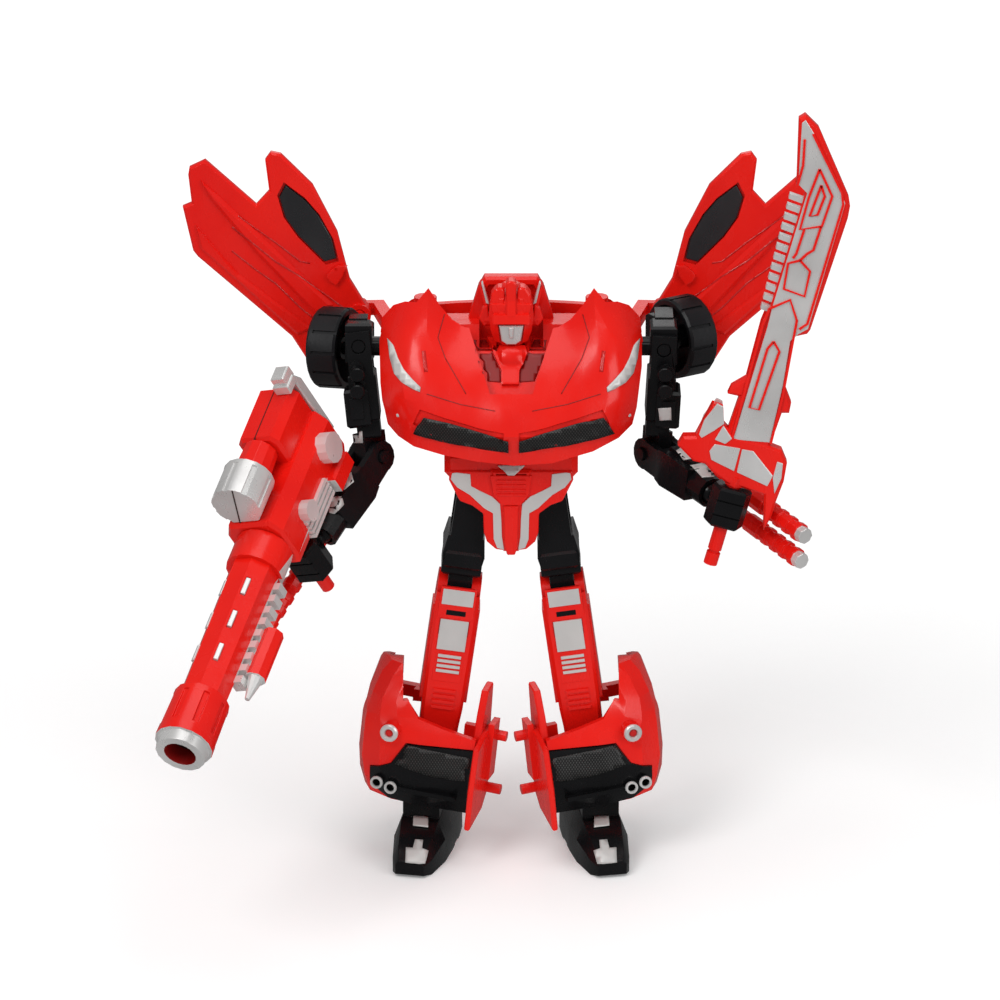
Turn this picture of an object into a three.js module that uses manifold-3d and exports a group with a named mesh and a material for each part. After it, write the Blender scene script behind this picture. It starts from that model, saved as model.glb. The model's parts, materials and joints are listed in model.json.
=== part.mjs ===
// Transforming robot car toy standing in robot mode, with a sword and a cannon in its fists.
// Millimetres. +Z is up, the front of the robot looks along -Y, +X is the side that holds the sword.
import * as THREE from 'three';
import { mergeVertices } from 'three/addons/utils/BufferGeometryUtils.js';
import Module from 'manifold-3d';

const wasm = await Module();
wasm.setup();

// ---------- driving dimensions ----------
const GAP = 0.3;                      // running clearance between neighbouring pieces

const CHEST_TOP = 176;                // torso
const CHEST_BOTTOM = 138;
const CHEST_HALF_WIDTH = 33;
const PELVIS_BOTTOM = 105;
const PELVIS_HALF_WIDTH = 6.6;

const HOOD_HALF_WIDTH = 41.4;         // hood shell worn as the chest
const HOOD_TOP_Y = -4;
const HOOD_TOP_Z = 181.5;
const HOOD_SLOPE = 57.3;              // degrees below horizontal
const HOOD_WALL = 2.4;

const HIP_X = 12.6;                   // legs
const HIP_Y = -1;
const HIP_Z = 117;
const LEG_SPREAD = 8;
const THIGH_LENGTH = 30;
const SHIN_LENGTH = 67;
const CALF_LEAN = 6;
const CALF_YAW = 15;
const TOE_OUT = 12;
const PIN_RADIUS = 2;

const SHOULDER_X = 47.8;              // arms
const SHOULDER_Y = 1;
const SHOULDER_Z = 169;
const UPPER_ARM_LENGTH = 36;
const FOREARM_LENGTH = 41;
const WRIST_OFFSET = 10.5;
const CARRIER_Y = 11.9;
const BALL_RADIUS = 3.4;
const FIST_HEIGHT = 13;
const GRIP_RADIUS = 2.2;

const PIPE_X = 15.8;                  // exhaust pipes beside and behind the forearm
const PIPE_Y = 8;

const WHEEL_RADIUS = 13;              // wheels
const WHEEL_HALF_WIDTH = 5;
const TREAD_COUNT = 12;
const AXLE_RADIUS = 1.8;

const DOOR_SCALE = 1.05;              // doors worn as wings
const DOOR_THICKNESS = 3.2;
const DOOR_HINGE = [48.5, 37, 166.5];
const DOOR_OFFSET = [2.5, 7];         // from the hinge to the door's own corner
const DOOR_LEAN = 49;

const CANNON_AXIS_HEIGHT = 20.5;      // weapons
const SCOPE_HEIGHT = 17;
const CANNON_FORWARD = 4;
const BORE_RADIUS = 5;
const SWORD_THICKNESS = 4.4;
const SWORD_STRETCH = 1.03;
const SWORD_SEAT = -3.8;              // how far the sword is pushed down into the fist

const COLOURS = { red: 0xd8160f, black: 0x17181a, silver: 0xb9bcc0, glass: 0x101114 };

// ---------- solids ----------
function bare(geometry) {
  const copy = geometry.clone();
  copy.deleteAttribute('normal');
  copy.deleteAttribute('uv');
  return mergeVertices(copy, 1e-4);
}

function toSolid(geometry) {
  const welded = bare(geometry);
  const mesh = new wasm.Mesh({
    numProp: 3,
    vertProperties: new Float32Array(welded.attributes.position.array),
    triVerts: new Uint32Array(welded.index.array),
  });
  return new wasm.Manifold(mesh);
}

function fromSolid(solid) {
  const mesh = solid.getMesh();
  const geometry = new THREE.BufferGeometry();
  geometry.setAttribute('position', new THREE.BufferAttribute(new Float32Array(mesh.vertProperties), 3));
  geometry.setIndex(new THREE.BufferAttribute(new Uint32Array(mesh.triVerts), 1));
  return geometry;
}

function join(first, ...others) {
  let solid = toSolid(first);
  for (const other of others) {
    solid = solid.add(toSolid(other));
  }
  return fromSolid(solid);
}

function cut(first, ...tools) {
  let solid = toSolid(first);
  for (const tool of tools) {
    solid = solid.subtract(toSolid(tool));
  }
  return fromSolid(solid);
}

function common(first, second) {
  return fromSolid(toSolid(first).intersect(toSolid(second)));
}

function mirrored(geometry) {
  const copy = bare(geometry);
  copy.applyMatrix4(new THREE.Matrix4().makeScale(-1, 1, 1));
  const index = copy.index.array;
  for (let i = 0; i < index.length; i += 3) {
    [index[i], index[i + 1]] = [index[i + 1], index[i]];
  }
  return copy;
}

// Right-hand geometry for side +1, its mirror image for side -1.
function sided(geometry, side) {
  return side > 0 ? geometry : mirrored(geometry);
}

function moved(geometry, x, y, z) {
  return geometry.clone().translate(x, y, z);
}

function turned(geometry, x, y, z) {
  const turn = new THREE.Euler(...[x, y, z].map(THREE.MathUtils.degToRad));
  return geometry.clone().applyMatrix4(new THREE.Matrix4().makeRotationFromEuler(turn));
}

// Prism of an outline with chamfered edges; the outline is [x, y], the prism runs from z = 0 to depth.
function prism(points, depth, chamfer = 0) {
  const shape = new THREE.Shape(points.map(([x, y]) => new THREE.Vector2(x, y)));
  const options = {
    depth: depth - 2 * chamfer,
    bevelEnabled: chamfer > 0,
    bevelThickness: chamfer,
    bevelSize: chamfer,
    bevelOffset: -chamfer,
    bevelSegments: 1,
    steps: 1,
  };
  return new THREE.ExtrudeGeometry(shape, options).translate(0, 0, chamfer);
}

// Outline [x, z] seen from the front, solid from yFront to yBack.
function frontPrism(points, yFront, yBack, chamfer = 0) {
  const geometry = prism(points, yBack - yFront, chamfer);
  geometry.rotateX(Math.PI / 2);
  return geometry.translate(0, yBack, 0);
}

// Outline [y, z] seen from the side, solid from xStart to xEnd.
function sidePrism(points, xStart, xEnd, chamfer = 0) {
  const basis = new THREE.Matrix4().makeBasis(
    new THREE.Vector3(0, 1, 0), new THREE.Vector3(0, 0, 1), new THREE.Vector3(1, 0, 0));
  return prism(points, xEnd - xStart, chamfer).applyMatrix4(basis).translate(xStart, 0, 0);
}

// Outline [x, y] seen from above, solid from zLow to zHigh.
function topPrism(points, zLow, zHigh, chamfer = 0) {
  return prism(points, zHigh - zLow, chamfer).translate(0, 0, zLow);
}

function rectangle(xLow, xHigh, yLow, yHigh) {
  return [[xLow, yLow], [xHigh, yLow], [xHigh, yHigh], [xLow, yHigh]];
}

function block(x, y, z, chamfer = 0) {
  return topPrism(rectangle(x[0], x[1], y[0], y[1]), z[0], z[1], chamfer);
}

function rodX(radius, xStart, xEnd, y, z, segments = 12) {
  const geometry = new THREE.CylinderGeometry(radius, radius, xEnd - xStart, segments);
  return geometry.rotateZ(-Math.PI / 2).translate((xStart + xEnd) / 2, y, z);
}

function rodY(radius, x, yStart, yEnd, z, segments = 12, tip = radius) {
  const geometry = new THREE.CylinderGeometry(radius, tip, yEnd - yStart, segments);
  return geometry.translate(x, (yStart + yEnd) / 2, z);
}

function rodZ(radius, x, y, zStart, zEnd, segments = 12, tip = radius) {
  const geometry = new THREE.CylinderGeometry(tip, radius, zEnd - zStart, segments);
  return geometry.rotateX(Math.PI / 2).translate(x, y, (zStart + zEnd) / 2);
}

function ball(radius, x, y, z) {
  return new THREE.SphereGeometry(radius, 12, 8).translate(x, y, z);
}

// Solid through a stack of rings, each ring the same number of [x, y, z] points.
function loft(rings) {
  const count = rings[0].length;
  const positions = rings.flat().flat();
  const triangles = [];
  for (let row = 0; row < rings.length - 1; row += 1) {
    for (let i = 0; i < count; i += 1) {
      const next = (i + 1) % count;
      const a = row * count + i;
      const b = row * count + next;
      const c = a + count;
      const d = b + count;
      triangles.push(a, b, d, a, d, c);
    }
  }
  const capEnds = [[0, true], [rings.length - 1, false]];
  for (const [row, flip] of capEnds) {
    for (const face of capTriangles(rings[row])) {
      const [a, b, c] = face.map((i) => row * count + i);
      if (flip) {
        triangles.push(a, c, b);
      } else {
        triangles.push(a, b, c);
      }
    }
  }
  return closed(positions, triangles);
}

// Triangles over one ring, counter-clockwise about the ring's own direction of travel.
function capTriangles(ring) {
  const normal = new THREE.Vector3();
  ring.forEach((point, i) => {
    const next = ring[(i + 1) % ring.length];
    normal.x += (point[1] - next[1]) * (point[2] + next[2]);
    normal.y += (point[2] - next[2]) * (point[0] + next[0]);
    normal.z += (point[0] - next[0]) * (point[1] + next[1]);
  });
  normal.normalize();
  const side = Math.abs(normal.z) < 0.9 ? new THREE.Vector3(0, 0, 1) : new THREE.Vector3(1, 0, 0);
  const u = side.cross(normal).normalize();
  const v = normal.clone().cross(u);
  const flat = ring.map((point) => {
    const place = new THREE.Vector3(...point);
    return new THREE.Vector2(place.dot(u), place.dot(v));
  });
  return THREE.ShapeUtils.triangulateShape(flat, []);
}

// Indexed geometry whose faces look outwards.
function closed(positions, triangles) {
  const geometry = new THREE.BufferGeometry();
  geometry.setAttribute('position', new THREE.BufferAttribute(new Float32Array(positions), 3));
  let volume = 0;
  const corner = (i) => new THREE.Vector3(...positions.slice(3 * i, 3 * i + 3));
  for (let i = 0; i < triangles.length; i += 3) {
    const [a, b, c] = [corner(triangles[i]), corner(triangles[i + 1]), corner(triangles[i + 2])];
    volume += a.dot(b.cross(c));
  }
  const faces = volume > 0 ? triangles : triangles.slice().reverse();
  geometry.setIndex(faces);
  return geometry;
}

// Curved panel: surface(u, v) gives the outer point and the inner point of the wall.
function panel(surface, columns, rows) {
  const outer = [];
  const inner = [];
  for (let row = 0; row <= rows; row += 1) {
    for (let column = 0; column <= columns; column += 1) {
      const [out, back] = surface(-1 + (2 * column) / columns, row / rows);
      outer.push(...out);
      inner.push(...back);
    }
  }
  const wide = columns + 1;
  const shift = wide * (rows + 1);
  const triangles = [];
  const quad = (a, b, c, d) => triangles.push(a, b, c, a, c, d);
  for (let row = 0; row < rows; row += 1) {
    for (let column = 0; column < columns; column += 1) {
      const a = row * wide + column;
      quad(a, a + wide, a + wide + 1, a + 1);
      quad(shift + a, shift + a + 1, shift + a + wide + 1, shift + a + wide);
    }
  }
  for (let column = 0; column < columns; column += 1) {
    const low = rows * wide + column;
    quad(column, column + 1, shift + column + 1, shift + column);
    quad(low + 1, low, shift + low, shift + low + 1);
  }
  for (let row = 0; row < rows; row += 1) {
    const left = row * wide;
    const right = left + columns;
    quad(left + wide, left, shift + left, shift + left + wide);
    quad(right, right + wide, shift + right + wide, shift + right);
  }
  return closed([...outer, ...inner], triangles);
}

function smooth(low, high, value) {
  return THREE.MathUtils.smoothstep(value, low, high);
}

function piece(name, geometry, colour) {
  const flat = geometry.index ? geometry.toNonIndexed() : geometry.clone();
  flat.deleteAttribute('uv');
  flat.computeVertexNormals();
  const material = new THREE.MeshStandardMaterial({ color: COLOURS[colour], roughness: 0.4 });
  const mesh = new THREE.Mesh(flat, material);
  mesh.name = name;
  return mesh;
}

function sideName(side) {
  return side > 0 ? 'right' : 'left';
}

function poseGroup(parent, x, y, z) {
  const group = new THREE.Group();
  group.position.set(x, y, z);
  parent.add(group);
  return group;
}

function degrees(value) {
  return THREE.MathUtils.degToRad(value);
}

// ---------- torso ----------
function chestFrame() {
  const profile = [[-9, 138], [15, 138], [15, 172], [10, 176], [-1, 176], [-15, 152], [-15, 144]];
  const core = sidePrism(profile, -CHEST_HALF_WIDTH, CHEST_HALF_WIDTH, 1);
  const spine = block([-13, 13], [-6, 10], [116, 139], 1);
  const pelvis = block([-PELVIS_HALF_WIDTH, PELVIS_HALF_WIDTH], [-7, 8], [PELVIS_BOTTOM + 1, 118], 1);
  const tools = [];
  for (const side of [-1, 1]) {
    const outer = side * (CHEST_HALF_WIDTH + 2);
    const deep = side * (CHEST_HALF_WIDTH - 9);
    tools.push(rodX(3.3, Math.min(outer, deep), Math.max(outer, deep), SHOULDER_Y, SHOULDER_Z));
    tools.push(rodX(3.3, Math.min(side * 8, side * 2.4), Math.max(side * 8, side * 2.4), HIP_Y, HIP_Z));
    tools.push(block([Math.min(side * 6.6, side * 20), Math.max(side * 6.6, side * 20)], [-12, 14], [104, 125]));
    tools.push(rodZ(2.3, side * 27, 12, 160, 180));
  }
  tools.push(rodZ(3.3, 0, -1, 160, 178));
  tools.push(block([-10, 10], [-20, 5], [169.4, 190]));
  tools.push(block([-6, 6], [-20, -6.6], [158, 172]));
  return cut(join(core, spine, pelvis), ...tools);
}

function hoodPoint(a, b, h) {
  const slope = degrees(HOOD_SLOPE);
  const y = HOOD_TOP_Y - b * Math.cos(slope) - h * Math.sin(slope);
  const z = HOOD_TOP_Z - b * Math.sin(slope) + h * Math.cos(slope);
  return [a, y, z];
}

// Height of the hood skin over its mean plane; u runs across, v runs from windscreen to nose.
function hoodHeight(u, v) {
  const across = Math.abs(u);
  const crown = 4.5 * (1 - (2 * v - 1) ** 2);
  const fender = 2.6 * Math.exp(-(((across - 0.72) / 0.12) ** 2)) * (1 - smooth(0.25, 0.75, v));
  const tip = 2.4 * Math.exp(-(((across - 0.62) / 0.07) ** 2)) * (1 - smooth(0, 0.25, v));
  const flank = -7.5 * smooth(0.84, 1, across) - 1.5 * smooth(0.6, 0.84, across);
  const nose = -8 * smooth(0.76, 1, v) * (1 - 0.3 * across);
  const ridge = 1.2 * (1 - smooth(0.1, 0.2, across)) * smooth(0.45, 0.7, v) * (1 - smooth(0.8, 1, v));
  return crown + fender + tip + flank + nose + ridge;
}

function hoodSkin(u, v) {
  const across = Math.abs(u);
  const halfWidth = HOOD_HALF_WIDTH - 3.2 * smooth(0.55, 1, v) - 0.8 * (1 - smooth(0, 0.3, v));
  const tip = -6.5 * Math.max(0, 1 - Math.abs(across - 0.64) / 0.13);
  const shoulder = -3 * smooth(0.72, 0.8, across) * (1 - smooth(0.9, 1, across));
  const valley = 6 * (1 - smooth(0.3, 0.6, across));
  const top = valley + tip + shoulder;
  const bottom = 50.3 - 12.5 * across ** 2.3;
  const a = u * halfWidth;
  const b = top + (bottom - top) * v;
  const h = hoodHeight(u, v);
  return [hoodPoint(a, b, h), hoodPoint(a * 0.965, b + 0.8 - 1.6 * v, h - HOOD_WALL)];
}

function hoodPrism(outline, lowest, highest) {
  const rings = [lowest, highest].map((h) => outline.map(([a, b]) => hoodPoint(a, b, h)));
  return loft(rings);
}

const GRILLE_OUTLINE = [
  [2.6, 45.2], [2.3, 40.4], [10, 38.6], [20.4, 35.4], [28.4, 32.4], [30.6, 36.2], [21.5, 41.4]];

function hoodShell() {
  const skin = panel(hoodSkin, 22, 10);
  const notch = hoodPrism([[-14.5, 1], [14.5, 1], [6.6, 28], [-6.6, 28]], -14, 14);
  const tools = [];
  for (const side of [-1, 1]) {
    tools.push(rodX(5, Math.min(side * 30, side * 50), Math.max(side * 30, side * 50), SHOULDER_Y, SHOULDER_Z));
    const outline = GRILLE_OUTLINE.map(([a, b]) => [side * a, b]);
    tools.push(cut(hoodPrism(outline, -20, 20), moved(skin, 0, 0.9, -0.3)));
  }
  return cut(skin, notch, ...tools);
}

function collar() {
  const plate = sidePrism([[-22.6, 154.6], [-20.2, 152], [-5.6, 169], [-9.4, 169.9]], -11.4, 11.4, 0.4);
  const neck = topPrism([[-4.4, -7], [-2.4, -12.6], [2.4, -12.6], [4.4, -7]], 160, 170, 0.3);
  return join(plate, neck);
}

function waistCover() {
  const half = [[21, 137.2], [21, 130.5], [17.3, 126.4], [16.3, 124.2], [6.6, 124.2], [6.4, 110], [5.4, 105.6],
    [2.6, 104.2]];
  const outline = [...half, ...half.slice().reverse().map(([x, z]) => [-x, z])];
  const plate = frontPrism(outline, -12, -7.4, 1.2);
  const wideBelt = frontPrism([[20, 137], [20, 131], [14, 127], [-14, 127], [-20, 131], [-20, 137]], -14, -8, 1);
  const centre = frontPrism([[4.2, 124], [2.6, 119], [2.4, 105.2], [-2.4, 105.2], [-2.6, 119], [-4.2, 124]],
    -15.2, -8, 0.8);
  const belly = frontPrism([[6.4, 132.5], [5.6, 122.8], [-5.6, 122.8], [-6.4, 132.5]], -15.4, -8, 0.8);
  const bulge = frontPrism([[6.5, 117], [6.5, 110.4], [4.8, 106.2], [-4.8, 106.2], [-6.5, 110.4], [-6.5, 117]],
    -14.2, -8, 1.2);
  const grooves = [0, 1, 2, 3].map((i) => block([-4.8, 4.8], [-17, -14.9], [124.6 + 2 * i, 125.4 + 2 * i]));
  return cut(join(plate, wideBelt, bulge, centre, belly), ...grooves);
}

function waistSide(side) {
  const profile = [[-6, 124.4], [7, 124.4], [10, 128], [11, 137.4], [-7, 137.4], [-7, 126]];
  return sided(sidePrism(profile, 13.4, 18.4, 0.8), side);
}

function canopy() {
  const outline = [[-11.8, 176.4], [-10.6, 184.6], [-8.4, 188.8], [8.4, 188.8], [10.6, 184.6], [11.8, 176.4]];
  const plate = frontPrism(outline, 7.2, 12.4, 0.9);
  const hollow = frontPrism([[-9.8, 174], [-8.4, 184], [-7, 186.4], [7, 186.4], [8.4, 184], [9.8, 174]],
    4, 9.6, 0);
  const hinge = rodX(2.2, -11, 11, 12.6, 178.8);
  return cut(join(plate, hinge), hollow);
}

function backShell() {
  const surface = (u, v) => {
    const half = 25 - 4 * v;
    const y = 21.5 + 5 * (1 - u * u) * (0.6 + 0.4 * Math.sin(Math.PI * v)) - 3 * v;
    const z = 176 - 44 * v;
    return [[u * half, y, z], [u * half * 0.93, y - 2.4, z]];
  };
  const skin = panel(surface, 8, 5);
  const posts = [-1, 1].map((side) => rodY(2.6, side * 12, 15 + GAP, 22.6, 160));
  const lower = [-1, 1].map((side) => rodY(2.6, side * 12, 15 + GAP, 20.6, 142));
  const window = frontPrism([[-13, 170], [13, 170], [16, 156], [-16, 156]], 10, 40, 0);
  const edge = cut(window, moved(skin, 0, -1.2, 0));
  return cut(join(skin, ...posts, ...lower), common(edge, frontPrism(rectangle(-30, 30, 120, 190), 23, 40)));
}

function head() {
  const rings = [
    [170.8, 3.4, -7.6, -1], [172.6, 5.2, -9.6, 1.5], [176, 6.4, -9.8, 3], [181, 7, -9.2, 4.2],
    [185.4, 6.6, -8.2, 4], [188.4, 4.8, -6.4, 2.4], [190, 2.4, -4, 0.6]];
  const skull = loft(rings.map(([z, half, front, back]) => [
    [-half, front + 2.4, z], [-half * 0.55, front, z], [half * 0.55, front, z], [half, front + 2.4, z],
    [half, back - 2, z], [half * 0.6, back, z], [-half * 0.6, back, z], [-half, back - 2, z]]));
  const crest = sidePrism([[-10.4, 181.6], [-8.6, 188.6], [-4, 191.6], [1, 190.6], [1, 184], [-6, 181.6]], -1.5, 1.5,
    0.4);
  const brow = sidePrism([[-10.8, 179.2], [-10.2, 182], [-6, 182.4], [-6, 179.2]], -6, 6, 0.5);
  const extras = [crest, brow];
  for (const side of [-1, 1]) {
    extras.push(rodX(2.6, Math.min(side * 6, side * 8.4), Math.max(side * 6, side * 8.4), -2.6, 178.6, 12));
    const horn = frontPrism([[6.6, 180], [8, 180.4], [10, 189.8], [8.6, 188.4]], -3.6, -1.8, 0.2);
    extras.push(sided(horn, side));
    extras.push(sided(frontPrism([[2.2, 183], [4.6, 183], [4, 187], [2.2, 187]], -8.4, -4, 0.4), side));
  }
  const neck = rodZ(2.9, 0, -1, 166.6, 173);
  const mouth = frontPrism([[-4.2, 178.9], [4.2, 178.9], [3.4, 171.8], [-3.4, 171.8]], -20, -8.3, 0);
  return cut(join(skull, ...extras, neck), mouth);
}

function facePlate() {
  const plate = frontPrism([[-3.8, 178.4], [3.8, 178.4], [3, 173.4], [1.4, 172.2], [-1.4, 172.2], [-3, 173.4]],
    -9.9, -8.3 - GAP * 0, 0.3);
  const nose = frontPrism([[-0.7, 178], [0.7, 178], [0.5, 174.6], [-0.5, 174.6]], -10.6, -9, 0.2);
  return moved(join(plate, nose), 0, -0.02, 0);
}

// ---------- doors worn as wings ----------
const DOOR_OUTLINE = [
  [60.8, 3.3], [62.9, -1.6], [61.7, -3.6], [55.2, -9.7], [56.5, -12.4], [45.1, -21], [42.8, -21.5], [4.8, -22.2],
  [-3.6, -24.9], [0.8, 1.4], [16, 12.2], [31.3, 18.6], [44.8, 19.7], [47.5, 18.2], [47.2, 15.2], [40, 8.6],
  [40.1, 2.7], [55.7, 3.1]];
const WINDOW_OUTLINE = [
  [38.2, 13.6], [37.1, 9.2], [31.1, 5.2], [24, 3.3], [12.1, 2.2], [9.9, 5.6], [15.7, 9.8], [23.8, 12.9],
  [30.3, 14]];

// Door outlines run along the door (first number) and across it (second number).
function doorOutline(points, grow = 1) {
  const lean = degrees(DOOR_LEAN);
  const centre = [25, 8];
  return points.map(([along, across]) => {
    const a = (centre[0] + grow * (along - centre[0])) * DOOR_SCALE;
    const w = (centre[1] + grow * (across - centre[1])) * DOOR_SCALE;
    return [
      DOOR_OFFSET[0] + a * Math.sin(lean) - w * Math.cos(lean),
      DOOR_OFFSET[1] + a * Math.cos(lean) + w * Math.sin(lean)];
  });
}

function door(side) {
  const slab = frontPrism(doorOutline(DOOR_OUTLINE), 0, DOOR_THICKNESS, 0.7);
  const recess = frontPrism(doorOutline(WINDOW_OUTLINE, 1.02), -2, 1.5, 0);
  const ridge = frontPrism(doorOutline([[2, -6], [50, -2.4], [58, -2.2], [52, -5], [30, -9], [4, -12]]),
    -1.4, 1, 1.2);
  const sill = frontPrism(doorOutline([[2, -16], [30, -17.4], [50, -14], [44, -19], [4, -20.6]]), -1.1, 1, 0.9);
  const bossOuter = rodY(3.8, 0, -1.2, DOOR_THICKNESS + 1.6, 0, 20);
  const arm = frontPrism([[-2.8, 2], [2.8, -2.4], [9.5, 3.4], [3, 12]], 0, DOOR_THICKNESS, 0.5);
  const bore = rodY(2.3, 0, -4, 10, 0, 16);
  return sided(cut(join(slab, ridge, sill, arm, bossOuter), recess, bore), side);
}

function doorGlass(side) {
  return sided(frontPrism(doorOutline(WINDOW_OUTLINE, 0.95), 0.1, 1.5 - GAP, 0.3), side);
}

function doorLink(side) {
  const [hingeX, hingeY, hingeZ] = DOOR_HINGE;
  const bar = loft([
    [[27, 9.4, 177.4], [27, 14.6, 177.4], [27, 14.6, 181], [27, 9.4, 181]],
    [[31.5, 16.6, 174.4], [28, 20.4, 174.4], [28, 20.4, 178.4], [31.5, 16.6, 178.4]],
    [[40.4, 29.4, 163], [36.8, 32.4, 163], [36.8, 32.4, 167.4], [40.4, 29.4, 167.4]],
    [[44, hingeY + 6, hingeZ - 2], [40.8, hingeY + 9.2, hingeZ - 2], [40.8, hingeY + 9.2, hingeZ + 2.2],
      [44, hingeY + 6, hingeZ + 2.2]],
    [[hingeX, hingeY + 5.2, hingeZ - 2], [hingeX, hingeY + 8.6, hingeZ - 2], [hingeX, hingeY + 8.6, hingeZ + 2.2],
      [hingeX, hingeY + 5.2, hingeZ + 2.2]]]);
  const knuckle = rodZ(3.6, 27, 12, 176 + GAP, 181);
  const peg = rodZ(2, 27, 12, 166, 177);
  const arm = rodY(3.2, hingeX, hingeY + DOOR_THICKNESS + 1.6 + GAP, hingeY + 8.8, hingeZ);
  const pin = rodY(2, hingeX, hingeY - 2.4, hingeY + 6, hingeZ);
  return sided(join(bar, knuckle, peg, arm, pin), side);
}

// ---------- wheels ----------
// Wheel on the X axis, web and moulded spokes on the outer (+X) side, hollow on the inner side.
function wheel() {
  const profile = [
    [AXLE_RADIUS + GAP, -3], [3.6, -3], [3.8, 2.2], [10.4, 2.2], [11, -5], [12.4, -5], [13, -4.2], [13, 4.2],
    [12.4, 5], [10.2, 5], [9.6, 4.2], [0, 4.2], [0, 1.2], [AXLE_RADIUS + GAP, 1.2]];
  const points = [...profile, profile[0]].map(([radius, x]) => new THREE.Vector2(radius, x));
  const turnedRing = bare(new THREE.LatheGeometry(points, 24));
  const ring = closed([...turnedRing.attributes.position.array], [...turnedRing.index.array]);
  ring.applyMatrix4(new THREE.Matrix4().makeRotationZ(-Math.PI / 2));
  const tools = [];
  for (let i = 0; i < TREAD_COUNT; i += 1) {
    const angle = (360 * i) / TREAD_COUNT;
    const notch = block([-6, 3], [-0.5, 0.5], [WHEEL_RADIUS - 0.6, WHEEL_RADIUS + 1]);
    tools.push(turned(notch, angle, 0, 0));
  }
  const spokeGaps = [];
  for (let i = 0; i < 5; i += 1) {
    const gap = topPrism([[-1, -1], [1, -1], [1, 1], [-1, 1]], 0, 1);
    gap.scale(1, 1.4, 4.4).translate(5.1, 0, 4.6);
    spokeGaps.push(turned(gap, 72 * i, 0, 0));
  }
  return cut(ring, ...tools, ...spokeGaps);
}

// ---------- arms ----------
function shoulderBracket(side) {
  const body = block([-4.2, 4.2], [-5, 5], [-6, 7], 0.8);
  const axle = rodX(2.3, -(SHOULDER_X - CHEST_HALF_WIDTH + 8), -4, 0, 0);
  const collarRing = rodX(2.9, -8, -4, 0, -1);
  const pin = rodY(PIN_RADIUS, 0, -6.8, 6.8, 0);
  const shelf = block([-2.6, 3.2], [3.6, 14.2], [5.2, 7.4]);
  const shelfPin = rodZ(PIN_RADIUS, 0.7, CARRIER_Y, -1.5, 6);
  return sided(join(body, axle, collarRing, pin, shelf, shelfPin), side);
}

function wheelCarrier(side) {
  const body = cut(block([-3.2, 3.2], [-2.9, 6.2], [-7.5, 4.9], 0.6), rodZ(PIN_RADIUS + GAP, 0, 0, -2, 8));
  const axle = rodX(AXLE_RADIUS, 2, 9, 3.1, -4);
  return sided(join(body, axle), side);
}

function upperArm(side, elbowTwist) {
  const cheeks = [-1, 1].map((end) => {
    const y = end > 0 ? [5.3, 7.2] : [-7.2, -5.3];
    return block([-3.8, 3.8], y, [-14, 4.6]);
  });
  const bar = block([-4.4, 4.4], [-7.2, 7.2], [-24, -8.6], 0.8);
  const pad = block([-1.4, 6.2], [-8.8, 3], [-25.4, -13.2], 0.9);
  const square = block([0.6, 4.6], [-9.5, -8], [-22.4, -16]);
  const stem = block([-4, 3.4], [-5, 5], [-29.6, -23], 0.6);
  const twist = turned(block([-2.6, 2.6], [-4.6, 4.6], [-37, -28.2]), 0, 0, elbowTwist);
  const axis = turned(rodX(PIN_RADIUS, -6.4, 6.4, 0, 0), 0, 0, elbowTwist).translate(0, 0, -UPPER_ARM_LENGTH);
  const pegs = [-6.6, -11.8].map((z) => rodY(2.3, 1.4, -9.6, -6.6, z, 12));
  const pinHole = rodY(PIN_RADIUS + GAP, 0, -6.9 - 0.3, 9, 0);
  const rounded = turned(rodX(4.6, -2.6, 2.6, 0, 0), 0, 0, elbowTwist).translate(0, 0, -UPPER_ARM_LENGTH);
  return sided(cut(join(bar, ...cheeks, pad, square, stem, twist, axis, rounded, ...pegs), pinHole), side);
}

function forearm(side) {
  const cheeks = [[-5.4, -2.9], [2.9, 5.4]].map(([low, high]) => join(
    rodX(5, low, high, 0, 0, 14), block([low, high], [-4.6, 4.6], [-12, 0], 0)));
  const sleeve = loft([
    [[-5.4, -5, -8], [5.4, -5, -8], [5.4, 5, -8], [-5.4, 5, -8]],
    [[-6, -6, -12], [6, -6, -12], [6, 5.6, -12], [-6, 5.6, -12]],
    [[-5.2, -5.4, -25], [5.2, -5.4, -25], [5.2, 5, -25], [-5.2, 5, -25]]]);
  const cup = rodZ(5, 0, 0, -32, -23, 12, 5.2);
  const panels = [[-16.4, -10.6], [-23.4, -17.6]].map((z) => block([-3, 3], [-7, -5], z, 0.3));
  const tools = [
    block([-2.9, 2.9], [-8, 8], [-7.4, 6]),
    rodX(PIN_RADIUS + GAP, -8, 8, 0, 0),
    ball(BALL_RADIUS + 0.4, 0, 0, -(FOREARM_LENGTH - WRIST_OFFSET)),
    rodZ(4.2, 0, 0, -36, -(FOREARM_LENGTH - WRIST_OFFSET), 12, 3.6),
  ];
  return sided(cut(join(...cheeks, sleeve, cup, ...panels), ...tools), side);
}

// Twin ribbed exhaust pipes clipped to the outer side of the forearm.
function exhaustPipes(side) {
  const parts = [];
  for (const y of [PIPE_Y - 4.3, PIPE_Y + 4.3]) {
    parts.push(rodZ(2.6, PIPE_X, y, -62, -14, 8));
    parts.push(rodZ(3.1, PIPE_X, y, -40, -32, 8));
    for (let i = 0; i < 4; i += 1) {
      parts.push(rodZ(3.1, PIPE_X, y, -59.5 + 5 * i, -57 + 5 * i, 8));
    }
  }
  const bridge = block([12.8, 16.2], [-3, PIPE_Y + 5.4], [-24, -15]);
  const foot = block([6.3, 13.4], [-3, 3], [-22.6, -16.4]);
  return sided(join(bridge, foot, ...parts), side);
}

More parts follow.
